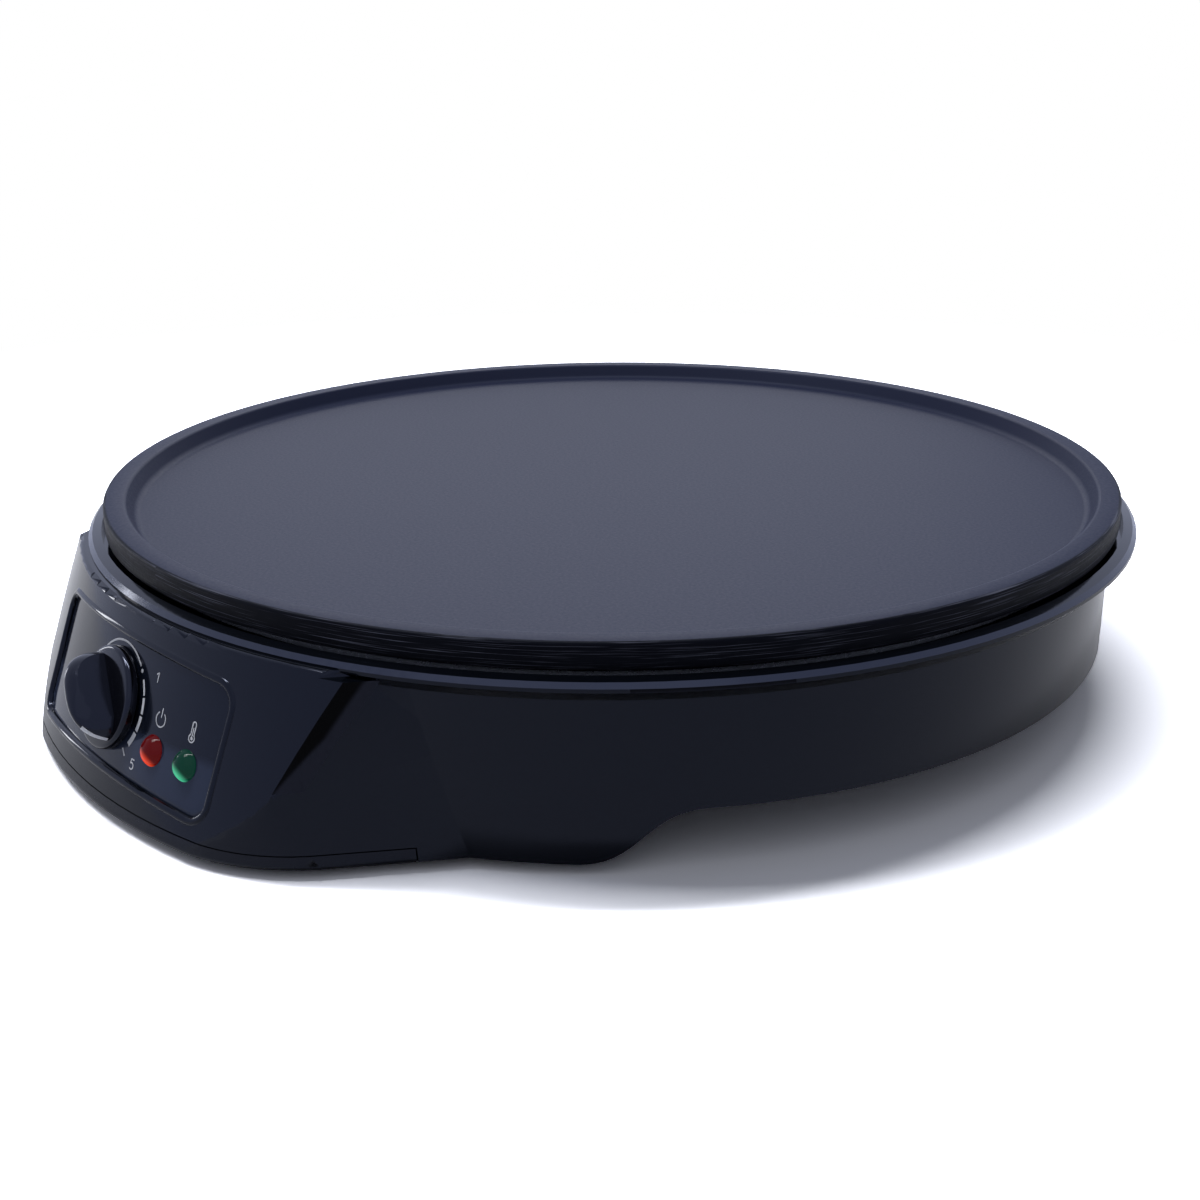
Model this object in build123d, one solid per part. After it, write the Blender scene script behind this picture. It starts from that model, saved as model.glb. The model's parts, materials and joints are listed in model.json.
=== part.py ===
from build123d import *
import os
from math import cos, radians, sin, tan

# Electric crepe maker: a round cooking plate on a drum-shaped housing with a flared
# control pod.  Millimetres, +Z up, the pod points along -Y.  Everything is modelled about
# the plate's axis; at the end all nodes move along Y so that the origin lies under the
# middle of the whole outline, on the surface that the feet stand on.

os.makedirs("parts", exist_ok=True)

# ------------------------------------------------------------------ housing, round part
drum_radius = 150.4          # outside of the drum wall
shell_wall = 2.6             # wall of the moulded housing
floor_clearance = 3.0        # lowest edge of the housing above the surface
arch_rise = 14.1             # how far the skirt's edge is raised between the legs
wall_rise = 30.2             # from the raised edge up to the lip's underside
lip_height = 3.9             # from the lip's underside to its widest line
flange_crown = 1.8           # from the widest line up to the flange's top
flange_overhang = 7.0        # how far the lip stands out from the drum wall
lip_undercut = 2.9           # how far the lip's lower edge lies inside its widest line
flange_top_width = 3.8       # from the widest line in to the flange's inner edge
flange_round = 1.2           # rounding between the widest line and the flange's top
channel_depth = 2.8          # from the flange's top down to the ledge
ledge_width = 11.8           # how far the ledge reaches in from the drum's inner wall
leg_angle = 42.0             # middle of each front leg, measured from the pod
rear_leg_angle = 148.0       # middle of each rear leg, measured from the pod
leg_half_span = 4.5          # half of the flat bottom of a leg, in degrees
leg_slope_span = 12.0        # the curve from a leg's bottom to the raised edge, in degrees

# ------------------------------------------------------------------ control pod
pod_reach = 25.8             # how far the pod stands out from the drum at its seam
pod_lean = 20.4              # lean of the pod's front, in degrees from upright
seam_height = 6.45           # middle of the seam between the housing and the base cover
seam_gap = 0.3
flank_angle = 31.5           # direction of the pod's flanks, in degrees from the pod's axis
flank_inset = 11.2           # how far inside the drum's tangent a flank lies at the seam
flank_draft = 7.6            # how far a flank leans inwards, in degrees from upright
flank_root = 100.4           # how far inside the drum's radius the pod's body reaches
corner_growth = 3.1          # radius that the conical corners gain for each millimetre below the step
corner_overlap = 0.001       # share of its radius by which a corner stands out of true tangency
corner_steps = 6             # sections that a conical corner is drawn through
cape_inset = 13.3            # the front's side edges, inside the drum's tangent
cape_depth = 4.0             # depth of the step beside the front's side edges
cape_drop = 30.0             # how far the step reaches down from the pod's top
pod_top_drop = 0.4           # pod's top below the flange's widest line
pod_top_round = 1.6
seam_end_inset = 19.4        # where the seam ends on the flank, inside the drum's radius

# ------------------------------------------------------------------ cooking plate
plate_side_gap = 1.1         # between the plate's edge and the flange
boss_rise = 1.3              # from the bosses' seat up to the plate's underside
plate_thickness = 3.5        # of the plate near its rim
plate_core = 5.0             # of the plate above the heating element
plate_recess = 4.7           # depth of the cooking surface below the rim
rim_width = 6.3
rim_slope = 2.6              # how far the rim's inner wall slopes in
rim_height = 7.0             # height of the plate's outer edge
rim_wall = 2.6               # thickness of the plate's outer edge
rim_round = 0.6
plate_boss_radius = 4.2
boss_margin = 0.5            # flat underside outside the bosses
plate_boss_count = 4
first_boss_angle = 45.0
core_margin = 2.0            # between the thicker core and the reflector's wall
plate_screw_radius = 2.0
plate_screw_head = 3.5
plate_screw_head_height = 2.2
plate_screw_length = 6.6

# ------------------------------------------------------------------ heating
sheet = 0.8                  # sheet metal of the reflector, straps and bracket
reflector_depth = 15.0       # from the ledge down to the reflector's floor
reflector_gap = 0.5          # between the reflector's wall and the ledge
reflector_slope = 5.0        # how far the reflector's wall slopes in
reflector_flange_inset = 1.3 # from the drum's inner wall to the reflector's edge
element_radius = 104.0       # middle line of the heating element's ring
element_tube_radius = 3.25
element_gap = 0.3            # between the element and the plate's underside
element_half_opening = 12.0  # half of the ring's opening, in degrees
element_bend_radius = 9.0
element_leg_length = 7.0     # straight ends of the element, below its bends
pin_radius = 1.2
pin_length = 6.0
insulator_radius = 4.6
insulator_wall_gap = 0.1
insulator_rise = 3.0         # of the insulator above the reflector's floor
insulator_drop = 2.4         # of the insulator below the reflector's floor
insulator_flange_radius = 6.0
insulator_flange = 1.2
clamp_count = 3
first_clamp_angle = 60.0
clamp_width = 10.0
clamp_overlap = 4.0          # of a strap beyond each of its studs
clamp_stud_offset = 8.5      # from the middle of the held piece to each stud
clamp_stud_radius = 3.0
strap_gap = 0.1              # between a held piece and its strap

# ------------------------------------------------------------------ control panel
panel_width = 92.4
panel_height = 33.5
panel_corner = 5.0
panel_centre_height = 28.7
panel_recess = 1.6
panel_thickness = 0.8
panel_clearance = 0.15
print_thickness = 0.12
knob_height = 28.4           # height of the knob's axis where it leaves the panel
ring_radius = 15.0           # middle line of the dial's printed scale
ring_line = 0.7
ring_end = 41.0              # end of the dial's plain line, clockwise from the top
scale_dot = 46.0
scale_start = 54.0           # start of the widening bars
scale_stop = 126.0           # end of the widening bars
scale_end = 134.7            # the scale's last mark
scale_bars = 4
scale_gap = 2.4              # between two bars, in degrees
scale_growth = 0.35          # how much wider each bar is than the one before it
scale_end_length = 3.4
low_stop = -135.0            # the pointer at its low stop
lens_height = 21.8
power_lens_angle = 7.7       # places round the pod, in degrees from its middle
ready_lens_angle = 12.2
lens_radius = 4.0
lens_dome = 2.6
lens_stem_radius = 3.1
lens_stem_length = 7.0
lens_clearance = 0.1
symbol_height = 29.5
power_symbol_angle = 8.0
ready_symbol_angle = 12.4
symbol_radius = 2.3
symbol_line = 0.5
symbol_opening = 60.0
digit_height = 3.4
low_digit_angle = 6.3
low_digit_height = 38.9
high_digit_angle = 5.2
high_digit_height = 16.1

# ------------------------------------------------------------------ knob and thermostat
knob_skirt_radius = 13.4
knob_skirt_height = 3.2
knob_skirt_round = 1.0
knob_gap = 0.5               # between the knob and the panel
grip_radius = 12.6           # half of the grip's length
grip_top = 12.9              # the grip's top above the panel
grip_crown_drop = 0.05       # how far the crown's ridge lies under the grip's ends
grip_end_round = 8.6         # of its two ends, seen from the side
grip_base_half = 4.4         # half of the grip's width at its foot
grip_shoulder_half = 3.5     # half of its width where its top begins to round over
grip_shoulder_height = 11.0
grip_side_half = 7.6         # half of the length of its flat sides
grip_tip_half = 1.2          # half of its width at its two ends
grip_tip_round = 1.0
grip_round = 1.2
pointer_width = 1.3
pointer_depth = 0.3
pointer_foot = 3.8           # the pointer's two ends above the panel
pointer_head = 10.4
knob_cavity_radius = 9.4
knob_cavity_depth = 2.0
hub_radius = 4.6
shaft_radius = 3.0
shaft_fit = 0.05             # running clearance of the shaft in its bush
shaft_flat = 1.0             # how far the shaft's flat lies inside its round
shaft_tip = 7.2              # the shaft's tip above the panel
shaft_tip_gap = 0.4
clip_thickness = 0.6
clip_width = 3.0
clip_length = 6.0
clip_fit = 0.05
shaft_embed = 9.0            # length of the shaft inside the thermostat
bush_radius = 5.0
bush_length = 4.0
shaft_hole_clearance = 1.2
thermostat_setback = 9.0     # from the panel's face to the thermostat's front
thermostat_width = 28.0
thermostat_height = 21.0
thermostat_depth = 20.0
thermostat_round = 1.5
bracket_width = 15.0
bracket_height = 38.0
bracket_boss_radius = 3.0
bracket_boss_spacing = 31.0
thermostat_screw_offset = 9.0
terminal_width = 4.8
terminal_length = 7.0
terminal_spacing = 11.0
terminal_setback = 12.0
socket_width = 6.4
socket_height = 3.0
socket_length = 8.6
socket_fit = 0.05
bulb_radius = 3.0
bulb_length = 56.0
bulb_gap = 0.55
bulb_end = 72.0              # front end of the sensing bulb, from the plate's axis
bulb_strap_place = 44.0
capillary_radius = 0.9
capillary_exit = 8.0         # where the capillary leaves the thermostat's back
capillary_straight = 6.0
capillary_rise_place = 84.0
capillary_bend = 6.0
capillary_hole = 2.5

# ------------------------------------------------------------------ lamps
lamp_radius = 2.4
lamp_length = 9.0
lamp_gap = 0.3
lamp_fit = 0.05
holder_depth = 12.0
holder_margin = 1.6
holder_half_height = 5.0
lamp_lead_radius = 0.7
lamp_lead_reach = 5.0

# ------------------------------------------------------------------ base, feet, inlet
base_clearance = 0.7         # between the base cover and the drum's inner wall
base_rise = 13.0             # underside of the base cover above the housing's lowest edge
base_wall = 2.4
tray_half_width = 77.0
tray_inset = 27.0            # inner edge of the pod's tray, inside the drum's radius
tray_clearance = 2.3         # underside of the tray above the surface
band_round = 1.3
vent_count = 16
vent_width = 4.0
vent_length = 26.0
vent_circle = 50.0
foot_radius = 7.5
foot_height = 4.6
foot_inset = 12.4            # from the drum's radius to a foot's middle
foot_socket_radius = 3.6
foot_socket_depth = 2.2
foot_boss_radius = 8.2
front_foot_angle = 43.0
column_radius = 4.0
column_inset = 7.2           # from the drum's inner wall to a screw column's middle
column_angles = (72, 108, -72, -108)
pod_column_x = 48.0
pod_column_inset = 6.4       # the pod's columns, inside the drum's radius
pod_pad_height = 2.6         # pads on the tray under the pod's columns
pod_pad_radius = 5.4
screw_radius = 1.5
screw_head_radius = 3.0
screw_head_height = 1.9
screw_length = 9.0
short_screw_length = 5.0
thread_gap = 0.05
head_gap = 0.4
gland_height = 28.0
gland_radius = 6.5
gland_bore = 3.6
gland_flange = 2.0
gland_flange_radius = 9.0
gland_inner_flange = 3.0
gland_inner_radius = 8.0
block_width = 34.0
block_depth = 20.0
block_height = 11.0
block_inset = 58.4           # from the drum's radius to the terminal block's middle
block_round = 0.8
block_pitch = 10.0
block_screw_radius = 2.2
block_screw_height = 1.2
block_hole_height = 5.0
cord_bar_length = 27.0
cord_bar_width = 7.0
cord_bar_height = 3.0
cord_bar_inset = 10.3        # from the drum's inner wall to the cord bar's middle
cord_post_x = 10.0
cord_post_radius = 3.4
lead_radius = 1.2
lead_rise = 1.8              # leads' middle lines above the base cover
lead_bend = 3.5
lead_wide_bend = 8.0
lead_lane = 34.0
outer_lane = 58.0
neutral_lane = 40.0
sleeve_radius = 2.4
sleeve_length = 7.0
fuse_radius = 2.3
fuse_length = 22.0
fuse_pin_radius = 0.6
fuse_pin_length = 5.0
fuse_y = 60.0
fuse_sleeve_radius = 1.7
fuse_clip_width = 8.0
earth_y = 16.0
earth_ring_radius = 4.0

# ------------------------------------------------------------------ worked-out places
skirt_edge = floor_clearance + arch_rise
lip_bottom = skirt_edge + wall_rise
flange_line = lip_bottom + lip_height
flange_top = flange_line + flange_crown
ledge_top = flange_top - channel_depth
ledge_bottom = ledge_top - shell_wall
drum_inner = drum_radius - shell_wall
ledge_inner = drum_inner - ledge_width
flange_radius = drum_radius + flange_overhang
flange_inner = flange_radius - flange_top_width
plate_radius = flange_inner - plate_side_gap
boss_circle = (ledge_inner + drum_inner) / 2
plate_seat = ledge_top + sheet
plate_underside = plate_seat + boss_rise
plate_floor = plate_underside + plate_thickness
plate_top = plate_floor + plate_recess
core_bottom = plate_floor - plate_core
reflector_wall_radius = ledge_inner - reflector_gap
reflector_floor_radius = reflector_wall_radius - reflector_slope
reflector_floor = ledge_top - reflector_depth
reflector_bottom = reflector_floor - sheet
core_radius = reflector_wall_radius - sheet - core_margin
element_height = core_bottom - element_gap - element_tube_radius
element_strap_height = element_height - element_tube_radius - strap_gap
element_end_height = element_height - element_bend_radius - element_leg_length
bulb_height = core_bottom - bulb_gap - bulb_radius
bulb_strap_height = bulb_height - bulb_radius - strap_gap
pod_top = flange_line - pod_top_drop
cape_bottom = pod_top - cape_drop
housing_pod_bottom = seam_height + seam_gap / 2
band_top = seam_height - seam_gap / 2
seam_end_y = -(drum_radius - seam_end_inset)
base_bottom = floor_clearance + base_rise
base_top = base_bottom + base_wall
base_radius = drum_inner - base_clearance
tray_floor = tray_clearance + base_wall
tray_inner_y = -(drum_radius - tray_inset)
pod_pad_top = tray_floor + pod_pad_height
column_circle = drum_inner - column_inset
foot_circle = drum_radius - foot_inset
foot_angles = (front_foot_angle, -front_foot_angle, rear_leg_angle, -rear_leg_angle)
pod_column_y = -(drum_radius - pod_column_inset)
lead_height = base_top + lead_rise
fuse_height = reflector_bottom - fuse_radius - strap_gap
cord_bar_y = drum_inner - cord_bar_inset
block_y = drum_radius - block_inset
cord_bar_bottom = gland_height + gland_bore
block_hole_level = base_top + block_hole_height
panel_face_inset = panel_recess - panel_thickness
small = 0.01                 # overlap that makes two joined solids one
reach = 400.0                # longer than anything that it cuts
from_bottom = (Align.CENTER, Align.CENTER, Align.MIN)


# ------------------------------------------------------------------ helpers
def turned(points):
    """A solid turned about the plate's axis from (radius, height) points."""
    return revolve(Plane.XZ * make_face(Polyline(*points, close=True)), Axis.Z)


def post(radius, bottom, top, x=0.0, y=0.0):
    """An upright round solid."""
    return Pos(x, y, bottom) * Cylinder(radius, top - bottom, align=from_bottom)


def block(size_x, size_y, bottom, top, x=0.0, y=0.0):
    """An upright box, centred on x and y."""
    return Pos(x, y, bottom) * Box(size_x, size_y, top - bottom, align=from_bottom)


def rod(radius, start, end):
    """A round solid along the local z axis."""
    return Pos(0, 0, (start + end) / 2) * Cylinder(radius, end - start)


def polar(radius, angle):
    """x and y at an angle measured from the pod's direction, -Y, towards +X."""
    return radius * sin(radians(angle)), -radius * cos(radians(angle))


def join(solids):
    """One solid from several that meet."""
    result = solids[0]
    for solid in solids[1:]:
        result = result + solid
    return result


def pod_radius(height, inset=0.0):
    """Radius of the pod's leaning front at a height, or of a layer inside it."""
    lean = radians(pod_lean)
    return drum_radius + pod_reach - (height - seam_height) * tan(lean) - inset / cos(lean)


def pod_cone(bottom, top, inset=0.0):
    """The cone that the pod's front belongs to, coaxial with the plate."""
    cone = Cone(pod_radius(bottom, inset), pod_radius(top, inset), top - bottom)
    return Pos(0, 0, (bottom + top) / 2) * cone


def flank_offset(height, inset=0.0):
    """Distance from the plate's axis to a flank at a height."""
    return drum_radius - flank_inset - (height - seam_height) * tan(radians(flank_draft)) - inset


def wedge_section(offset, height):
    """Outline between two flank lines that lie at an offset from the axis, at a height."""
    angle = radians(flank_angle)
    points = []
    for distance in (drum_radius + 2 * pod_reach, drum_radius - flank_root):
        points.append(((offset - distance * sin(angle)) / cos(angle), -distance))
    mirrored = [(-x, y) for x, y in reversed(points)]
    return Pos(0, 0, height) * make_face(Polyline(*points, *mirrored, close=True))


def corner_section(height, inset):
    """A round corner of the pod at a height: its circle, and a kite over its outer part."""
    radius = (cape_bottom - height) * corner_growth
    front = pod_radius(height, inset) - radius
    side = flank_offset(height, inset) - radius
    turn = radians(flank_angle)
    normal = Vector(cos(turn), -sin(turn))
    along = Vector(-sin(turn), -cos(turn))
    centre = normal * side + along * (front**2 - side**2) ** 0.5
    to_front = centre.normalized()
    outwards = (to_front + normal).normalized()
    centre = centre + outwards * radius * corner_overlap
    reach_out = 2 * radius
    ends = (centre, centre + to_front * reach_out, centre + outwards * reach_out * 2, centre + normal * reach_out)
    kite = make_face(Polyline(*[(point.X, point.Y) for point in ends], close=True))
    level = Pos(0, 0, height)
    return level * Pos(centre.X, centre.Y) * Circle(radius), level * kite


def corner_cutter(bottom, inset):
    """What the right-hand conical corner takes off the pod, from its apex down to a height."""
    foot = bottom - shell_wall
    step = (cape_bottom - small - foot) / corner_steps
    sections = [corner_section(foot + i * step, inset) for i in range(corner_steps + 1)]
    cone = loft([circle for circle, kite in sections])
    return loft([kite for circle, kite in sections]) - cone


def pod_solid(bottom, top, inset=0.0):
    """The pod's body between its leaning front and its two flanks, corners rounded."""
    sections = [wedge_section(flank_offset(height, inset), height) for height in (bottom, top)]
    body = loft(sections, ruled=True) & pod_cone(bottom, top, inset)
    cutter = corner_cutter(bottom, inset)
    return body - cutter - mirror(cutter, Plane.YZ)


def surface_plane(angle, height, inset=0.0):
    """A plane on the pod's front, its z axis outwards and its y axis up the slope."""
    lean = radians(pod_lean)
    turn = radians(angle)
    outward = (sin(turn) * cos(lean), -cos(turn) * cos(lean), sin(lean))
    x, y = polar(pod_radius(height, inset), angle)
    return Plane(origin=(x, y, height), x_dir=(cos(turn), sin(turn), 0), z_dir=outward)


def on(plane, solid):
    """A solid modelled at the origin, moved to a plane."""
    return plane.location * solid


def place(plane, x, y, z):
    """The world position of a point given in a plane's own axes."""
    return plane.origin + plane.x_dir * x + plane.y_dir * y + plane.z_dir * z


def panel_prism(clearance):
    """The panel's rounded outline, run through the pod's front along its normal."""
    width = panel_width - 2 * clearance
    outline = RectangleRounded(width, panel_height - 2 * clearance, panel_corner - clearance)
    return extrude(panel_plane * outline, amount=panel_height / 2, both=True)


def front_layer(outer_inset, inner_inset):
    """A thin conical layer of the pod's front, between two depths."""
    return pod_cone(seam_height, flange_line, outer_inset) - pod_cone(seam_height, flange_line, inner_inset)


def wire_solid(radius, points, bends):
    """A round wire or tube through points, with a rounded bend at each inner point."""
    path = FilletPolyline(*points, radius=bends)
    return sweep(Plane(origin=path @ 0, z_dir=path % 0) * Circle(radius), path=path)


def screw(radius, length, head_radius, head_height):
    """A pan-head screw: head below z = 0, shank above it."""
    head = fillet(rod(head_radius, -head_height, 0).edges().group_by(Axis.Z)[0], head_height / 3)
    slot = Pos(0, 0, -head_height) * Box(head_radius * 2, head_height / 3, head_height)
    return head - slot + rod(radius, -small, length)


def small_screw(length):
    """The small screw that is used for the covers, straps and feet."""
    return screw(screw_radius, length, screw_head_radius, screw_head_height)


def thread_hole(bottom, top, x, y, radius=screw_radius):
    """The hole that a screw's shank fills."""
    return post(radius + thread_gap, bottom, top, x, y)


def strap(stud_distance, height):
    """A flat sheet strap along the local x axis, with its two stud holes, top at a height."""
    length = 2 * (stud_distance + clamp_overlap)
    plate = extrude(RectangleRounded(length, clamp_width, clamp_overlap - small), amount=sheet)
    plate = Pos(0, 0, height - sheet) * plate
    for side in (-1, 1):
        plate = plate - thread_hole(height - clamp_width, height + clamp_width, side * stud_distance, 0)
    return plate


panel_plane = surface_plane(0, panel_centre_height)
knob_plane = surface_plane(0, knob_height, panel_face_inset)
rest_turn = radians(scale_end)
grip_plane = Plane(
    origin=knob_plane.origin,
    x_dir=knob_plane.x_dir * sin(rest_turn) + knob_plane.y_dir * cos(rest_turn),
    z_dir=knob_plane.z_dir,
)
thermostat_plane = Plane(
    origin=knob_plane.origin - knob_plane.z_dir * thermostat_setback,
    x_dir=knob_plane.x_dir,
    z_dir=knob_plane.z_dir,
)
power_plane = surface_plane(power_lens_angle, lens_height, panel_face_inset)
ready_plane = surface_plane(ready_lens_angle, lens_height, panel_face_inset)
holder_angle = (power_lens_angle + ready_lens_angle) / 2
boss_angles = [first_boss_angle + i * 360 / plate_boss_count for i in range(plate_boss_count)]
clamp_angles = [first_clamp_angle + i * 360 / clamp_count for i in range(clamp_count)]
pin_x = element_radius * sin(radians(element_half_opening)) - element_bend_radius * cos(radians(element_half_opening))
pin_y = -element_radius * cos(radians(element_half_opening)) - element_bend_radius * sin(radians(element_half_opening))


# ------------------------------------------------------------------ upper housing
def arch_cut(first_angle, last_angle):
    """The space below the skirt's raised edge, between two legs, with curved ends."""
    inner = drum_radius - 4 * shell_wall
    depth = 8 * shell_wall
    start = first_angle + leg_slope_span
    span = last_angle - first_angle - 2 * leg_slope_span
    middle = inner + depth / 2
    section = Pos(middle, (skirt_edge - floor_clearance) / 2) * Rectangle(depth, skirt_edge + floor_clearance)
    cut = Rot(0, 0, start - 90) * revolve(Plane.XZ * section, Axis.Z, revolution_arc=span)
    half_run = drum_radius * sin(radians(leg_slope_span / 2))
    for angle, side in ((first_angle + leg_slope_span / 2, 1), (last_angle - leg_slope_span / 2, -1)):
        low = (-side * half_run, floor_clearance)
        high = (side * half_run, skirt_edge)
        curve = Bezier(low, (0, floor_clearance), (0, skirt_edge), high)
        corner_high = (side * (half_run + shell_wall), skirt_edge)
        corner_low = (side * (half_run + shell_wall), -floor_clearance)
        rest = Polyline(high, corner_high, corner_low, (-side * half_run, -floor_clearance), low)
        turn = radians(angle)
        plane = Plane(
            origin=(*polar(inner, angle), 0),
            x_dir=(cos(turn), sin(turn), 0),
            z_dir=(sin(turn), -cos(turn), 0),
        )
        cut = cut + extrude(plane * make_face(curve + rest), amount=depth)
    return cut


def housing_outside():
    """The housing as a solid: drum, pod, the stepped cape beside the pod's front, flange."""
    pod = pod_solid(floor_clearance, pod_top)
    top_edge = [
        edge
        for edge in pod.edges()
        if abs((edge @ 0.5).Z - pod_top) < small and (edge @ 0.5).Y < -drum_radius
    ]
    body = post(drum_radius, floor_clearance, ledge_top) + fillet(top_edge, pod_top_round)
    cape_sections = [
        wedge_section(drum_radius - cape_inset, height) for height in (cape_bottom, pod_top - pod_top_round)
    ]
    cape = loft(cape_sections, ruled=True) & pod_cone(cape_bottom, pod_top)
    cape = cape - pod_cone(cape_bottom - small, pod_top + small, cape_depth)
    flange = turned(
        [
            (0, ledge_bottom),
            (drum_radius - small, ledge_bottom),
            (drum_radius - small, lip_bottom),
            (flange_radius - lip_undercut, lip_bottom),
            (flange_radius, flange_line - lip_height / 4),
            (flange_radius, flange_line),
            (flange_radius - flange_round, flange_top - flange_crown / 3),
            (flange_inner, flange_top),
            (0, flange_top),
        ]
    )
    return body + cape + flange


def make_upper_shell():
    """Flange, drum wall, legged skirt, pod and screw columns, as one moulding."""
    body = housing_outside()
    body = body - post(flange_inner, ledge_top, flange_top + shell_wall)
    body = body - post(ledge_inner, ledge_bottom - shell_wall, flange_top)
    body = body - post(drum_inner, -shell_wall, ledge_bottom)
    body = body - pod_solid(-shell_wall, ledge_bottom, shell_wall)
    body = body - block(reach, reach, -reach, housing_pod_bottom, 0, seam_end_y - reach / 2)
    front_end = leg_angle + leg_half_span
    rear_end = rear_leg_angle - leg_half_span
    body = body - arch_cut(front_end, rear_end)
    body = body - arch_cut(-rear_end, -front_end)
    body = body - arch_cut(rear_leg_angle + leg_half_span, 360 - rear_leg_angle - leg_half_span)
    body = body - (panel_prism(0) & front_layer(-panel_recess, panel_recess))
    columns = []
    for angle in column_angles:
        columns.append(post(column_radius, base_top, ledge_bottom + small, *polar(column_circle, angle)))
    for side in (-1, 1):
        columns.append(
            post(column_radius, pod_pad_top, ledge_bottom + small, side * pod_column_x, pod_column_y)
        )
        boss = Pos(0, side * bracket_boss_spacing / 2, 0) * rod(bracket_boss_radius, sheet, thermostat_setback)
        columns.append(on(thermostat_plane, boss) & pod_cone(0, flange_top, (panel_recess + shell_wall) / 2))
    body = join([body] + columns)
    for angle in column_angles:
        body = body - thread_hole(0, base_bottom + screw_length + small, *polar(column_circle, angle))
    for side in (-1, 1):
        body = body - thread_hole(0, tray_floor + screw_length + small, side * pod_column_x, pod_column_y)
        pilot = Pos(0, side * bracket_boss_spacing / 2, 0) * rod(screw_radius + thread_gap, -sheet, short_screw_length)
        body = body - on(thermostat_plane, pilot)
    for angle in boss_angles:
        body = body - thread_hole(
            ledge_bottom - small, ledge_top + small, *polar(boss_circle, angle), plate_screw_radius
        )
    body = body - on(knob_plane, rod(shaft_radius + shaft_hole_clearance, -thermostat_setback / 2, shell_wall))
    for plane in (power_plane, ready_plane):
        body = body - on(plane, rod(lens_stem_radius + lens_clearance, -lens_stem_length, shell_wall))
    inlet = Pos(0, drum_inner, gland_height) * Rot(90, 0, 0) * Cylinder(gland_radius + thread_gap, 8 * shell_wall)
    return body - inlet


# ------------------------------------------------------------------ cooking plate
def make_cooking_plate():
    """The cast plate: raised rim, thicker core, screw bosses and strap studs."""
    rim_inner = plate_radius - rim_width
    rim_bottom = plate_top - rim_height
    plate = turned(
        [
            (0, core_bottom),
            (core_radius, core_bottom),
            (core_radius + boss_rise, plate_underside),
            (boss_circle + plate_boss_radius + boss_margin, plate_underside),
            (plate_radius - rim_wall, plate_floor),
            (plate_radius - rim_wall, rim_bottom),
            (plate_radius, rim_bottom),
            (plate_radius, plate_top),
            (rim_inner, plate_top),
            (rim_inner - rim_slope, plate_floor),
            (0, plate_floor),
        ]
    )
    plate = fillet(plate.edges().group_by(Axis.Z)[-1], rim_round)
    for angle in boss_angles:
        x, y = polar(boss_circle, angle)
        plate = plate + post(plate_boss_radius, plate_seat, plate_underside + small, x, y)
        plate = plate - thread_hole(
            plate_seat - small, ledge_bottom + plate_screw_length + small, x, y, plate_screw_radius
        )
    studs = []
    for angle in clamp_angles:
        for side in (-1, 1):
            studs.append((*polar(element_radius + side * clamp_stud_offset, angle), element_strap_height))
    for side in (-1, 1):
        studs.append((side * clamp_stud_offset, -bulb_strap_place, bulb_strap_height))
    for x, y, height in studs:
        plate = plate + post(clamp_stud_radius, height, core_bottom + small, x, y)
        plate = plate - thread_hole(height - small, height + short_screw_length, x, y)
    return plate


# ------------------------------------------------------------------ heating
def make_heating_element():
    """A ring of sheathed tube whose two ends turn down to their pins."""
    circle = Pos(element_radius, 0) * Circle(element_tube_radius)
    span = 360 - 2 * element_half_opening
    ring = revolve(Plane.XZ * circle, Axis.Z, revolution_arc=span)
    solids = [Pos(0, 0, element_height) * Rot(0, 0, element_half_opening - 90) * ring]
    for side in (-1, 1):
        turn = radians(side * element_half_opening)
        end_x, end_y = polar(element_radius, side * element_half_opening)
        towards = Vector(-side * cos(turn), -side * sin(turn), 0)
        centre = Vector(end_x, end_y, element_height - element_bend_radius)
        bend_plane = Plane(origin=centre, x_dir=towards, z_dir=towards.cross(Vector(0, 0, 1)))
        arc = bend_plane * CenterArc((0, 0), element_bend_radius, 90, -90)
        section = Plane(origin=arc @ 0, z_dir=arc % 0) * Circle(element_tube_radius)
        solids.append(sweep(section, path=arc))
        foot = centre + towards * element_bend_radius
        solids.append(post(element_tube_radius, element_end_height, foot.Z + small, foot.X, foot.Y))
        solids.append(post(pin_radius, element_end_height - pin_length, element_end_height + small, foot.X, foot.Y))
    return join(solids)


def make_element_insulators():
    """Two ceramic bushes that carry the element's ends through the reflector."""
    bottom = reflector_bottom - insulator_drop
    solids = []
    for side in (-1, 1):
        bush = post(insulator_radius, bottom, reflector_floor + insulator_rise)
        bush = bush + post(insulator_flange_radius, reflector_floor, reflector_floor + insulator_flange)
        bush = bush - post(element_tube_radius + insulator_wall_gap, -reach, reach)
        solids.append(Pos(side * pin_x, pin_y, 0) * bush)
    return Compound(solids)


def make_element_clamps():
    """Three sheet straps that hold the element's ring up to the plate."""
    solids = []
    for angle in clamp_angles:
        x, y = polar(element_radius, angle)
        solids.append(Pos(x, y, 0) * Rot(0, 0, angle - 90) * strap(clamp_stud_offset, element_strap_height))
    return Compound(solids)


def make_bulb_clip():
    """The sheet strap that holds the sensing bulb up to the plate."""
    return Pos(0, -bulb_strap_place, 0) * strap(clamp_stud_offset, bulb_strap_height)


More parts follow.
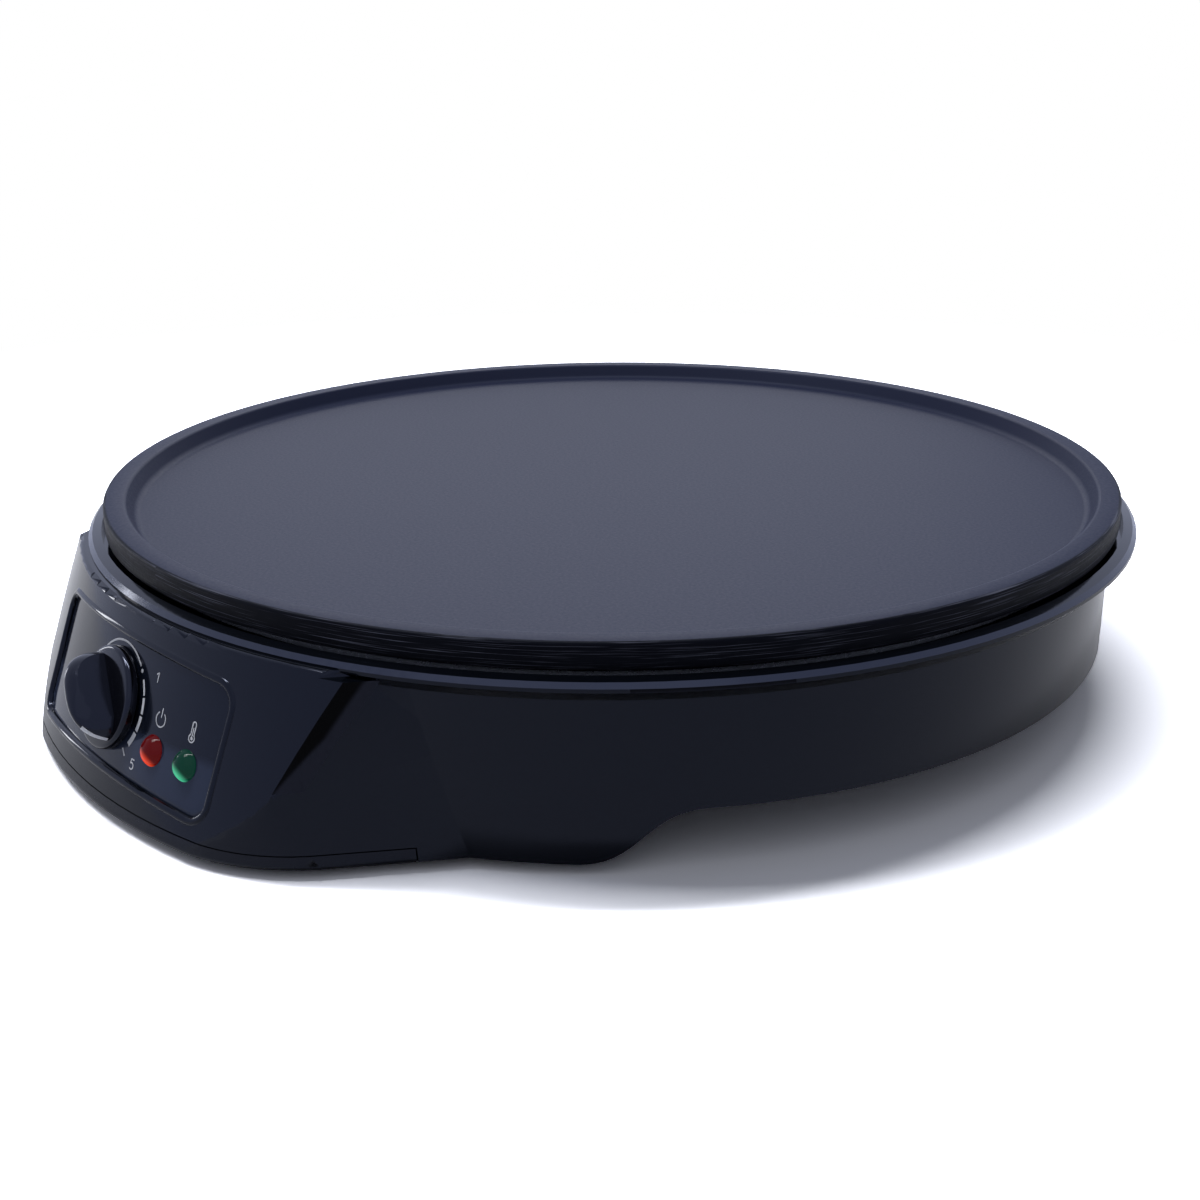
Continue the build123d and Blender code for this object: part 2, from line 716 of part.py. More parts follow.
def make_strap_screws():
    """The screws of the element's straps, the bulb's strap and the fuse's clip."""
    solids = []
    for angle in clamp_angles:
        for side in (-1, 1):
            x, y = polar(element_radius + side * clamp_stud_offset, angle)
            solids.append(Pos(x, y, element_strap_height - sheet) * small_screw(short_screw_length))
    for side in (-1, 1):
        solids.append(
            Pos(side * clamp_stud_offset, -bulb_strap_place, bulb_strap_height - sheet)
            * small_screw(short_screw_length)
        )
        solids.append(
            Pos(0, fuse_y + side * clamp_stud_offset, reflector_bottom - sheet) * small_screw(short_screw_length)
        )
    return Compound(solids)


def make_heat_reflector():
    """The sheet dish under the element, clamped between the plate's bosses and the ledge."""
    edge = drum_inner - reflector_flange_inset
    dish = turned(
        [
            (0, reflector_floor),
            (reflector_floor_radius, reflector_floor),
            (reflector_wall_radius - sheet, ledge_top),
            (reflector_wall_radius - sheet, plate_seat),
            (edge, plate_seat),
            (edge, ledge_top),
            (reflector_wall_radius, ledge_top),
            (reflector_floor_radius + sheet / 2, reflector_bottom),
            (0, reflector_bottom),
        ]
    )
    for angle in boss_angles:
        dish = dish - thread_hole(ledge_top - small, plate_seat + small, *polar(boss_circle, angle), plate_screw_radius)
    low = reflector_bottom - small
    high = reflector_floor + small
    for side in (-1, 1):
        dish = dish - post(insulator_radius + insulator_wall_gap, low, high, side * pin_x, pin_y)
        dish = dish - thread_hole(low, high, 0, fuse_y + side * clamp_stud_offset)
    dish = dish - post(capillary_hole, low, high, 0, -capillary_rise_place)
    return dish - thread_hole(low, high, -block_pitch, earth_y)


def make_plate_screws():
    """The screws that pull the plate down on the housing's ledge from below."""
    one = screw(plate_screw_radius, plate_screw_length, plate_screw_head, plate_screw_head_height)
    return Compound([Pos(*polar(boss_circle, angle), ledge_bottom) * one for angle in boss_angles])


# ------------------------------------------------------------------ control panel
def make_control_panel():
    """The glossy inlay, curved like the pod's front, with its shaft and lens holes."""
    panel = panel_prism(panel_clearance) & front_layer(panel_face_inset, panel_recess)
    panel = panel - on(knob_plane, rod(shaft_radius + shaft_hole_clearance, -shell_wall, shell_wall))
    for plane in (power_plane, ready_plane):
        panel = panel - on(plane, rod(lens_stem_radius + lens_clearance, -shell_wall, shell_wall))
    return panel


def dial_direction(angle):
    """A dial angle, clockwise from the top, as an angle from the plane's x axis."""
    return 90.0 - angle


def dial_point(radius, angle):
    """A point of the dial at an angle clockwise from the top."""
    return radius * sin(radians(angle)), radius * cos(radians(angle))


def printed(plane_angle, height, sketch):
    """A sketch moved to a place of the pod's front, in the knob's plane."""
    spot = knob_plane.to_local_coords(surface_plane(plane_angle, height, panel_face_inset).origin)
    return Pos(spot.X, spot.Y) * sketch


def power_symbol():
    """An open circle with an upright bar."""
    half = symbol_opening / 2
    ring = CenterArc((0, 0), symbol_radius, 90 + half, 360 - symbol_opening)
    bar = Line((0, symbol_radius * 0.2), (0, symbol_radius * 1.1))
    return trace(ring, symbol_line) + trace(bar, symbol_line)


def ready_symbol():
    """A plain thermometer: an upright bar on a round bulb."""
    bulb = Pos(0, -symbol_radius * 0.7) * Circle(symbol_radius * 0.45)
    stem = trace(Line((0, -symbol_radius * 0.7), (0, symbol_radius * 1.1)), symbol_line * 1.6)
    return bulb + stem


def digit_one():
    """The numeral 1."""
    h = digit_height
    return trace(Polyline((-h * 0.22, h * 0.3), (h * 0.05, h * 0.5), (h * 0.05, -h * 0.5)), symbol_line)


def digit_five():
    """The numeral 5."""
    h = digit_height
    top = Polyline((h * 0.28, h * 0.5), (-h * 0.24, h * 0.5), (-h * 0.28, h * 0.06))
    bowl = ThreePointArc((-h * 0.28, h * 0.06), (h * 0.3, -h * 0.18), (-h * 0.3, -h * 0.38))
    return trace(top, symbol_line) + trace(bowl, symbol_line)


def make_dial_marks():
    """The panel's print: the dial's line, its widening bars, two symbols and two numerals."""
    marks = trace(
        CenterArc((0, 0), ring_radius, dial_direction(ring_end), ring_end - low_stop), ring_line
    )
    marks = marks + Pos(*dial_point(ring_radius, scale_dot)) * Circle(ring_line * 0.8)
    step = (scale_stop - scale_start) / scale_bars
    for i in range(scale_bars):
        end_angle = scale_start + (i + 1) * step - scale_gap / 2
        width = ring_line * (1 + scale_growth * (i + 1))
        bar = CenterArc((0, 0), ring_radius, dial_direction(end_angle), step - scale_gap)
        marks = marks + trace(bar, width)
    half = scale_end_length / 2
    tick = Line(dial_point(ring_radius - half, scale_end), dial_point(ring_radius + half, scale_end))
    marks = marks + trace(tick, ring_line)
    marks = marks + printed(power_symbol_angle, symbol_height, power_symbol())
    marks = marks + printed(ready_symbol_angle, symbol_height, ready_symbol())
    marks = marks + printed(low_digit_angle, low_digit_height, digit_one())
    marks = marks + printed(high_digit_angle, high_digit_height, digit_five())
    prisms = extrude(knob_plane * marks, amount=knob_skirt_radius, both=True)
    return prisms & front_layer(panel_face_inset - print_thickness, panel_face_inset)


def make_lens(plane):
    """A domed lens on a stem that passes through the panel and the housing."""
    ball_radius = (lens_radius**2 + lens_dome**2) / (2 * lens_dome)
    ball = Pos(0, 0, lens_dome - ball_radius) * Sphere(ball_radius)
    dome = ball & rod(lens_radius, 0, lens_dome + small)
    return on(plane, dome + rod(lens_stem_radius, -lens_stem_length, small))


def make_lamp(plane):
    """A small indicator lamp behind its lens."""
    start = -lens_stem_length - lamp_gap
    lamp = rod(lamp_radius, start - lamp_length, start)
    return on(plane, fillet(lamp.edges().group_by(Axis.Z)[-1], lamp_radius / 2))


def make_lamp_holder():
    """The moulded block behind the panel that holds both lamps."""
    plane = surface_plane(holder_angle, lens_height, panel_face_inset)
    half_gap = radians(ready_lens_angle - power_lens_angle) / 2
    half_width = pod_radius(lens_height) * sin(half_gap) + lens_stem_radius + holder_margin
    body = on(plane, Pos(0, 0, -holder_depth / 2) * Box(2 * half_width, 2 * holder_half_height, holder_depth))
    body = body & pod_cone(0, flange_line, shell_wall)
    for lens_plane in (power_plane, ready_plane):
        body = body - on(lens_plane, rod(lens_stem_radius + lens_clearance, -lens_stem_length - lamp_gap, 0))
        body = body - on(lens_plane, rod(lamp_radius + lamp_fit, -2 * holder_depth, 0))
    return body


# ------------------------------------------------------------------ knob
def grip_side(inset=0.0):
    """The grip's outline seen from the side, its lower half inside the skirt."""
    length = 2 * (grip_radius - inset)
    return RectangleRounded(length, 2 * (grip_top - inset), grip_end_round - inset)


def grip_solid():
    """The knob's raised grip, its nose along the local x axis."""
    lengthwise = extrude(Plane.XZ * grip_side(), amount=knob_skirt_radius, both=True)
    foot = knob_skirt_height - small
    flanks = Polyline(
        (grip_shoulder_half, grip_shoulder_height),
        (grip_base_half, foot),
        (-grip_base_half, foot),
        (-grip_shoulder_half, grip_shoulder_height),
    )
    crown = ThreePointArc(flanks @ 1, (0, grip_top - grip_crown_drop), flanks @ 0)
    section = make_face(flanks + crown)
    section = fillet(section.vertices().group_by(Axis.Y)[-1], grip_round)
    crosswise = extrude(Plane.YZ * section, amount=knob_skirt_radius, both=True)
    plan = Polyline(
        (grip_side_half, grip_base_half),
        (grip_radius, grip_tip_half),
        (grip_radius, -grip_tip_half),
        (grip_side_half, -grip_base_half),
        (-grip_side_half, -grip_base_half),
        (-grip_radius, -grip_tip_half),
        (-grip_radius, grip_tip_half),
        (-grip_side_half, grip_base_half),
        close=True,
    )
    outline = make_face(plan)
    upright = extrude(fillet(outline.vertices(), grip_tip_round), amount=grip_top + small)
    return lengthwise & crosswise & upright


def pointer_solid():
    """The white stripe let into the grip's nose."""
    ring = grip_side() - grip_side(pointer_depth)
    stripe = extrude(Plane.XZ * ring, amount=pointer_width / 2, both=True)
    window = Box(grip_radius, knob_skirt_radius, pointer_head - pointer_foot)
    return stripe & Pos(grip_radius, 0, (pointer_head + pointer_foot) / 2) * window


def make_thermostat_knob():
    """Round skirt, raised grip, hollow underside and a hub with a D-shaped bore."""
    skirt = rod(knob_skirt_radius, knob_gap, knob_skirt_height + small)
    skirt = fillet(skirt.edges().group_by(Axis.Z)[-1], knob_skirt_round)
    knob = skirt + grip_solid()
    knob = knob - rod(knob_cavity_radius, -small, knob_cavity_depth)
    knob = knob + rod(hub_radius, knob_gap, knob_cavity_depth + small)
    bore = rod(shaft_radius + shaft_fit, -small, shaft_tip + shaft_tip_gap)
    flat = shaft_radius - shaft_flat + clip_thickness + 2 * clip_fit
    bore = bore - Pos(flat + shaft_radius, 0, 0) * Box(2 * shaft_radius, 4 * shaft_radius, reach)
    return on(grip_plane, knob - bore - pointer_solid())


def make_knob_pointer():
    """The pointer stripe, flush in the knob."""
    return on(grip_plane, pointer_solid())


def make_knob_spring_clip():
    """The spring strip that presses the knob on the shaft's flat."""
    start = shaft_radius - shaft_flat + clip_fit
    strip = Box(clip_thickness, clip_width, clip_length)
    return on(grip_plane, Pos(start + clip_thickness / 2, 0, shaft_tip - clip_length / 2) * strip)


def make_thermostat_shaft():
    """The shaft with its flat, from inside the thermostat to inside the knob."""
    start = -thermostat_setback - shaft_embed
    shaft = rod(shaft_radius, start, shaft_tip)
    flat_start = shaft_radius - shaft_flat
    cutter = Box(2 * shaft_radius, 4 * shaft_radius, shaft_tip + small)
    cutter = Pos(flat_start + shaft_radius, 0, (shaft_tip + small) / 2) * cutter
    return on(grip_plane, shaft - cutter)


# ------------------------------------------------------------------ thermostat
def make_thermostat_body():
    """The thermostat's case with its bush and two side terminals."""
    case = Pos(0, 0, -thermostat_depth / 2) * Box(thermostat_width, thermostat_height, thermostat_depth)
    case = fillet(case.edges().filter_by(Axis.Z), thermostat_round)
    case = case + rod(bush_radius, -small, bush_length)
    case = case - rod(shaft_radius + shaft_fit, -shaft_embed - shaft_fit, bush_length + small)
    for side in (-1, 1):
        tab = Box(terminal_length + thermostat_round, sheet, terminal_width)
        middle = -thermostat_width / 2 - (terminal_length - thermostat_round) / 2
        case = case + Pos(middle, side * terminal_spacing / 2, -terminal_setback) * tab
        case = case - Pos(0, side * thermostat_screw_offset, 0) * rod(
            screw_radius + thread_gap, sheet - short_screw_length, small
        )
    return on(thermostat_plane, case)


def make_thermostat_bracket():
    """The sheet bracket between the thermostat's front and the pod's inner bosses."""
    plate = extrude(RectangleRounded(bracket_width, bracket_height, thermostat_round), amount=sheet)
    plate = plate - rod(bush_radius + thread_gap, -small, sheet + small)
    for side in (-1, 1):
        for offset in (bracket_boss_spacing / 2, thermostat_screw_offset):
            plate = plate - Pos(0, side * offset, 0) * rod(screw_radius + thread_gap, -small, sheet + small)
    return on(thermostat_plane, plate)


def make_thermostat_screws():
    """The two screws that hold the thermostat to its bracket."""
    solids = []
    for side in (-1, 1):
        one = Pos(0, side * thermostat_screw_offset, sheet) * Rot(180, 0, 0) * small_screw(short_screw_length)
        solids.append(on(thermostat_plane, one))
    return Compound(solids)


def make_bracket_screws():
    """The two screws that hold the bracket to the pod's bosses."""
    solids = []
    for side in (-1, 1):
        one = Pos(0, side * bracket_boss_spacing / 2, 0) * small_screw(short_screw_length)
        solids.append(on(thermostat_plane, one))
    return Compound(solids)


def make_capillary_tube():
    """The thin tube from the thermostat's back, under the reflector and up to the bulb."""
    start = place(thermostat_plane, 0, capillary_exit, -thermostat_depth)
    bent = place(thermostat_plane, 0, capillary_exit, -thermostat_depth - capillary_straight)
    points = [
        (0, start.Y, start.Z),
        (0, bent.Y, bent.Z),
        (0, -capillary_rise_place, bent.Z),
        (0, -capillary_rise_place, bulb_height),
        (0, -bulb_end, bulb_height),
    ]
    return wire_solid(capillary_radius, points, capillary_bend)


def make_sensing_bulb():
    """The sensing bulb under the middle of the plate."""
    bulb = Cylinder(bulb_radius, bulb_length)
    bulb = fillet(bulb.edges().filter_by(GeomType.CIRCLE), bulb_radius / 3)
    return Pos(0, -bulb_end + bulb_length / 2, bulb_height) * Rot(90, 0, 0) * bulb


def make_thermal_fuse():
    """The fuse under the reflector, its pins along X."""
    fuse = rod(fuse_radius, -fuse_length / 2, fuse_length / 2)
    fuse = fuse + rod(fuse_pin_radius, -fuse_length / 2 - fuse_pin_length, fuse_length / 2 + fuse_pin_length)
    return Pos(0, fuse_y, fuse_height) * Rot(0, 90, 0) * fuse


def make_fuse_clip():
    """The hat-shaped sheet clip that holds the fuse up to the reflector."""
    foot_end = clamp_stud_offset + clamp_overlap
    inner = fuse_radius + strap_gap
    depth = 2 * inner
    outline = Polyline(
        (-foot_end, 0),
        (-inner, 0),
        (-inner, -depth),
        (inner, -depth),
        (inner, 0),
        (foot_end, 0),
        (foot_end, -sheet),
        (inner + sheet, -sheet),
        (inner + sheet, -depth - sheet),
        (-inner - sheet, -depth - sheet),
        (-inner - sheet, -sheet),
        (-foot_end, -sheet),
        close=True,
    )
    clip = extrude(Plane.YZ * make_face(outline), amount=fuse_clip_width / 2, both=True)
    for side in (-1, 1):
        clip = clip - Pos(0, side * clamp_stud_offset, 0) * rod(screw_radius + thread_gap, -2 * sheet, sheet)
    return Pos(0, fuse_y, reflector_bottom) * clip


# ------------------------------------------------------------------ wiring
def make_terminal_block():
    """The three-pole block on the base cover, its wire holes towards the pod."""
    body = block(block_width, block_depth, base_top, base_top + block_height, 0, block_y)
    body = fillet(body.edges().filter_by(Axis.Z), block_round)
    for pole in (-1, 0, 1):
        hole = Rot(90, 0, 0) * Cylinder(lead_radius + thread_gap, block_depth + small)
        body = body - Pos(pole * block_pitch, block_y, block_hole_level) * hole
        for side in (-1, 1):
            body = body - post(
                block_screw_radius + thread_gap,
                base_top + block_height - block_screw_height,
                base_top + block_height + small,
                pole * block_pitch,
                block_y + side * block_depth / 4,
            )
    for side in (-1, 1):
        body = body - thread_hole(base_top - small, base_bottom + screw_length, side * block_pitch / 2, block_y)
    return body


def make_terminal_screws():
    """The six clamping screws in the terminal block."""
    solids = []
    top = base_top + block_height
    for pole in (-1, 0, 1):
        for side in (-1, 1):
            x = pole * block_pitch
            y = block_y + side * block_depth / 4
            head = post(block_screw_radius, top - block_screw_height, top, x, y)
            slot = block(2 * block_screw_radius, sheet, top - block_screw_height / 2, top + small, x, y)
            solids.append(head - slot)
    return Compound(solids)


def block_end(pole):
    """Where a lead ends in the terminal block, and where it leaves it."""
    x = pole * block_pitch
    return (x, block_y - block_depth / 4, block_hole_level), x


def tab_socket(side):
    """The push-on socket over one of the thermostat's terminals."""
    socket = Box(socket_length, socket_height, socket_width)
    slot = Box(terminal_length + socket_fit, sheet + 2 * socket_fit, terminal_width + 2 * socket_fit)
    socket = socket - Pos((socket_length - terminal_length) / 2, 0, 0) * slot
    middle = -thermostat_width / 2 - socket_fit - socket_length / 2
    return on(thermostat_plane, Pos(middle, side * terminal_spacing / 2, -terminal_setback) * socket)


def tab_end(side):
    """The place where a lead leaves a thermostat terminal's socket."""
    x = -thermostat_width / 2 - socket_fit - socket_length
    return place(thermostat_plane, x, side * terminal_spacing / 2, -terminal_setback)


def pin_sleeve(side):
    """The crimped sleeve over one of the element's pins."""
    top = element_end_height - socket_fit
    sleeve = post(sleeve_radius, top - sleeve_length, top)
    sleeve = sleeve - post(pin_radius + socket_fit, top - pin_length - socket_fit, top + small)
    return Pos(side * pin_x, pin_y, 0) * sleeve


def fuse_sleeve(side):
    """The crimped sleeve over one of the fuse's pins."""
    start = fuse_length / 2 + socket_fit
    sleeve = rod(fuse_sleeve_radius, start, start + sleeve_length)
    sleeve = sleeve - rod(fuse_pin_radius + socket_fit, 0, start + fuse_pin_length)
    return Pos(0, fuse_y, fuse_height) * Rot(0, side * 90, 0) * sleeve


def make_lead_supply():
    """The live lead from the terminal block to the fuse."""
    start, x = block_end(1)
    end_x = fuse_length / 2 + sleeve_length - small
    points = [
        start,
        (x, fuse_y + 2 * lead_wide_bend, block_hole_level),
        (lead_lane, fuse_y + 2 * lead_wide_bend, block_hole_level),
        (lead_lane, fuse_y, fuse_height),
        (end_x, fuse_y, fuse_height),
    ]
    return wire_solid(lead_radius, points, lead_bend) + fuse_sleeve(1)


def make_lead_live():
    """The live lead from the fuse to the thermostat."""
    tab = tab_end(1)
    points = [
        (-fuse_length / 2 - sleeve_length + small, fuse_y, fuse_height),
        (-outer_lane, fuse_y, fuse_height),
        (-outer_lane, tray_inner_y, tab.Z),
        (tab.X - lead_wide_bend - lead_bend, tab.Y, tab.Z),
        (tab.X + small, tab.Y, tab.Z),
    ]
    return wire_solid(lead_radius, points, lead_wide_bend) + fuse_sleeve(-1) + tab_socket(1)


def make_lead_switched():
    """The lead from the thermostat to the element's first pin."""
    tab = tab_end(-1)
    end_height = element_end_height - sleeve_length
    points = [
        (tab.X + small, tab.Y, tab.Z),
        (-lead_lane, tab.Y, tab.Z),
        (-lead_lane, tray_inner_y - lead_wide_bend, lead_height),
        (-lead_lane, pin_y - 2 * lead_bend, lead_height),
        (-pin_x, pin_y, lead_height),
        (-pin_x, pin_y, end_height),
    ]
    return wire_solid(lead_radius, points, lead_bend) + tab_socket(-1) + pin_sleeve(-1)


def make_lead_neutral():
    """The neutral lead from the terminal block to the element's second pin."""
    start, x = block_end(0)
    end_height = element_end_height - sleeve_length
    points = [
        start,
        (x, fuse_y + lead_wide_bend, block_hole_level),
        (neutral_lane, fuse_y - 2 * lead_wide_bend, lead_height),
        (neutral_lane, pin_y, lead_height),
        (pin_x, pin_y, lead_height),
        (pin_x, pin_y, end_height),
    ]
    return wire_solid(lead_radius, points, lead_bend) + pin_sleeve(1)


def make_lead_earth():
    """The earth lead from the terminal block to the reflector."""
    start, x = block_end(-1)
    level = reflector_bottom - lead_radius - sheet / 4
    ring = post(earth_ring_radius, reflector_bottom - sheet, reflector_bottom, x, earth_y)
    ring = ring - thread_hole(reflector_bottom - 2 * sheet, reflector_bottom + small, x, earth_y)
    crimp_y = earth_y + 1.25 * earth_ring_radius
    crimp = block(2 * lead_radius, 1.5 * earth_ring_radius, level, reflector_bottom, x, crimp_y)
    points = [
        start,
        (x, earth_y + 5 * lead_wide_bend, block_hole_level),
        (x, earth_y + 3 * lead_wide_bend, level),
        (x, earth_y + earth_ring_radius, level),
    ]
    wire = wire_solid(lead_radius, points, lead_bend) + crimp
    wire = wire - post(screw_head_radius + thread_gap, 0, reflector_bottom - sheet, x, earth_y)
    return wire + ring


def make_earth_screw():
    """The screw that clamps the earth lead's ring to the reflector."""
    return Pos(-block_pitch, earth_y, reflector_bottom - sheet) * small_screw(short_screw_length)


def make_lamp_leads():
    """Two thin leads: one between the lamps, one from the power lamp to the thermostat."""
    back = -lens_stem_length - lamp_gap - lamp_length
    solids = []
    offset = lamp_radius / 2
    first = place(power_plane, 0, offset, back)
    first_out = place(power_plane, 0, offset, back - lamp_lead_reach)
    last_out = place(ready_plane, 0, offset, back - lamp_lead_reach)
    last = place(ready_plane, 0, offset, back)
    solids.append(wire_solid(lamp_lead_radius, [first, first_out, last_out, last], lamp_radius))
    feed = place(power_plane, 0, -offset, back)
    feed_out = place(power_plane, 0, -offset, back - lamp_lead_reach)
    local = thermostat_plane.to_local_coords(feed_out)
    wall = place(thermostat_plane, thermostat_width / 2, local.Y, local.Z)
    solids.append(wire_solid(lamp_lead_radius, [feed, feed_out, wall], lamp_radius))
    return Compound(solids)


# ------------------------------------------------------------------ base, feet, inlet
def make_base_cover():
    """The flat bottom, the tray below the pod with its visible band, and the foot bosses."""
    depth = drum_radius + tray_inner_y
    tray_y = tray_inner_y - depth
    outer = block(2 * tray_half_width, 2 * depth, tray_clearance, base_top, 0, tray_y)
    inner = block(
        2 * (tray_half_width - base_wall), 2 * depth, tray_floor, base_top + small, 0, tray_y - base_wall
    )
    tray = (outer - inner) & post(base_radius, tray_clearance, base_top)
    band = pod_solid(tray_clearance, band_top)
    front_edges = [
        edge
        for edge in band.edges()
        if abs((edge @ 0.5).Z - tray_clearance) < small and (edge @ 0.5).Y < -drum_radius
    ]
    band = fillet(front_edges, band_round)
    band = band & block(reach, reach, 0, reach, 0, seam_end_y - seam_gap - reach / 2)
    band = band - pod_solid(tray_floor, band_top + small, base_wall)
    cover = (post(base_radius, base_bottom, base_top) - inner) + (band + tray)
    for angle in foot_angles:
        x, y = polar(foot_circle, angle)
        cover = cover + post(foot_boss_radius, foot_height, base_bottom + small, x, y)
        cover = cover - thread_hole(0, foot_socket_depth + screw_length, x, y)
    for angle in column_angles:
        cover = cover - thread_hole(0, base_top + small, *polar(column_circle, angle))
    for side in (-1, 1):
        x = side * pod_column_x
        cover = cover + post(pod_pad_radius, tray_floor - small, pod_pad_top, x, pod_column_y)
        cover = cover - post(screw_head_radius + head_gap, 0, tray_floor, x, pod_column_y)
        cover = cover - thread_hole(0, pod_pad_top + small, x, pod_column_y)
        cover = cover - thread_hole(0, base_top + small, side * block_pitch / 2, block_y)
        cover = cover + post(cord_post_radius, base_top - small, cord_bar_bottom, side * cord_post_x, cord_bar_y)
        cover = cover - thread_hole(
            cord_bar_bottom + cord_bar_height - screw_length, cord_bar_bottom + small, side * cord_post_x, cord_bar_y
        )
    saddle_top = gland_height - gland_bore
    cover = cover + block(2 * cord_post_x, cord_bar_width / 2, base_top - small, saddle_top, 0, cord_bar_y)
    slots = []
    for i in range(vent_count):
        slot = extrude(SlotOverall(vent_length, vent_width), amount=2 * base_wall, both=True)
        slots.append(Rot(0, 0, i * 360 / vent_count) * Pos(vent_circle, 0, base_bottom) * slot)
    return cover - slots


def make_base_screws():
    """The screws of the base cover: round the drum, in the pod and under the block."""
    one = small_screw(screw_length)
    solids = [Pos(*polar(column_circle, angle), base_bottom) * one for angle in column_angles]
    for side in (-1, 1):
        solids.append(Pos(side * pod_column_x, pod_column_y, tray_floor) * one)
        solids.append(Pos(side * block_pitch / 2, block_y, base_bottom) * small_screw(screw_length - small))
    return Compound(solids)


def make_rubber_feet():
    """Four round feet, each with a socket for its screw."""
    foot = fillet(post(foot_radius, 0, foot_height).edges().group_by(Axis.Z)[0], rim_round)
    foot = foot - post(foot_socket_radius, -small, foot_socket_depth)
    foot = foot - thread_hole(0, foot_height + small, 0, 0)
    return Compound([Pos(*polar(foot_circle, angle), 0) * foot for angle in foot_angles])


def make_foot_screws():
    """The screws inside the feet."""
    one = small_screw(screw_length)
    return Compound([Pos(*polar(foot_circle, angle), foot_socket_depth) * one for angle in foot_angles])


def make_cord_gland():
    """The rubber bush in the rear wall, grooved round the wall, with the cord's bore."""
    axis = Pos(0, 0, gland_height) * Rot(-90, 0, 0)
    outer = axis * rod(gland_flange_radius, drum_inner, drum_radius + gland_flange)
    outer = outer - post(drum_radius, 0, reach)
    neck = axis * rod(gland_radius, drum_inner - gland_inner_flange, drum_radius + gland_flange / 2)
    inner = axis * rod(gland_inner_radius, drum_inner - gland_inner_flange, drum_radius)
    inner = inner & post(drum_inner, 0, reach)
    bore = axis * rod(gland_bore, drum_inner - 2 * gland_inner_flange, drum_radius + 2 * gland_flange)
    return outer + neck + inner - bore


def make_cord_clamp():
    """The bar that holds the cord down behind its bush."""
    bar = Box(cord_bar_length, cord_bar_width, cord_bar_height, align=from_bottom)
    bar = fillet(bar.edges().filter_by(Axis.Z), block_round)
    bar = Pos(0, cord_bar_y, cord_bar_bottom) * bar
    for side in (-1, 1):
        bar = bar - thread_hole(0, reach, side * cord_post_x, cord_bar_y)
    return bar


def make_cord_clamp_screws():
    """The two screws of the cord's bar."""
    top = cord_bar_bottom + cord_bar_height
    one = Rot(180, 0, 0) * small_screw(screw_length - small)
    return Compound([Pos(side * cord_post_x, cord_bar_y, top) * one for side in (-1, 1)])


# ------------------------------------------------------------------ nodes
nodes = {
    "upper_shell": make_upper_shell(),
    "cooking_plate": make_cooking_plate(),
    "plate_screws": make_plate_screws(),
    "heating_element": make_heating_element(),
    "element_insulators": make_element_insulators(),
    "element_clamps": make_element_clamps(),
    "strap_screws": make_strap_screws(),
    "heat_reflector": make_heat_reflector(),
    "control_panel": make_control_panel(),
    "dial_marks": make_dial_marks(),
    "power_lens": make_lens(power_plane),
    "ready_lens": make_lens(ready_plane),
    "power_lamp": make_lamp(power_plane),
    "ready_lamp": make_lamp(ready_plane),
    "lamp_holder": make_lamp_holder(),
    "lamp_leads": make_lamp_leads(),
    "thermostat_knob": make_thermostat_knob(),
    "knob_pointer": make_knob_pointer(),
    "knob_spring_clip": make_knob_spring_clip(),
    "thermostat_shaft": make_thermostat_shaft(),
    "thermostat_body": make_thermostat_body(),
    "thermostat_bracket": make_thermostat_bracket(),
    "thermostat_screws": make_thermostat_screws(),
    "bracket_screws": make_bracket_screws(),
    "capillary_tube": make_capillary_tube(),
    "sensing_bulb": make_sensing_bulb(),
    "bulb_clip": make_bulb_clip(),
    "thermal_fuse": make_thermal_fuse(),
    "fuse_clip": make_fuse_clip(),
    "terminal_block": make_terminal_block(),
    "terminal_screws": make_terminal_screws(),
    "lead_supply": make_lead_supply(),
    "lead_live": make_lead_live(),
    "lead_switched": make_lead_switched(),
    "lead_neutral": make_lead_neutral(),
    "lead_earth": make_lead_earth(),
    "earth_screw": make_earth_screw(),
    "base_cover": make_base_cover(),
    "base_screws": make_base_screws(),
    "rubber_feet": make_rubber_feet(),
    "foot_screws": make_foot_screws(),
    "cord_gland": make_cord_gland(),
    "cord_clamp": make_cord_clamp(),
    "cord_clamp_screws": make_cord_clamp_screws(),
}

outline = Compound(list(nodes.values())).bounding_box()
middle_y = (outline.min.Y + outline.max.Y) / 2
print(f"depth {outline.size.Y:.2f} mm, middle at y = {middle_y:.3f} mm")
for name, solid in nodes.items():
    export_step(solid.moved(Location((0, -middle_y, 0))), f"parts/{name}.step")
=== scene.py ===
import json
import logging
import math
from collections.abc import Callable, Iterable
from dataclasses import dataclass, field
from enum import Enum

import bmesh
import bpy
from bmesh.types import BMesh, BMVert
from bpy.types import Material, Mesh, NodeTree, Object
from mathutils import Matrix, Vector


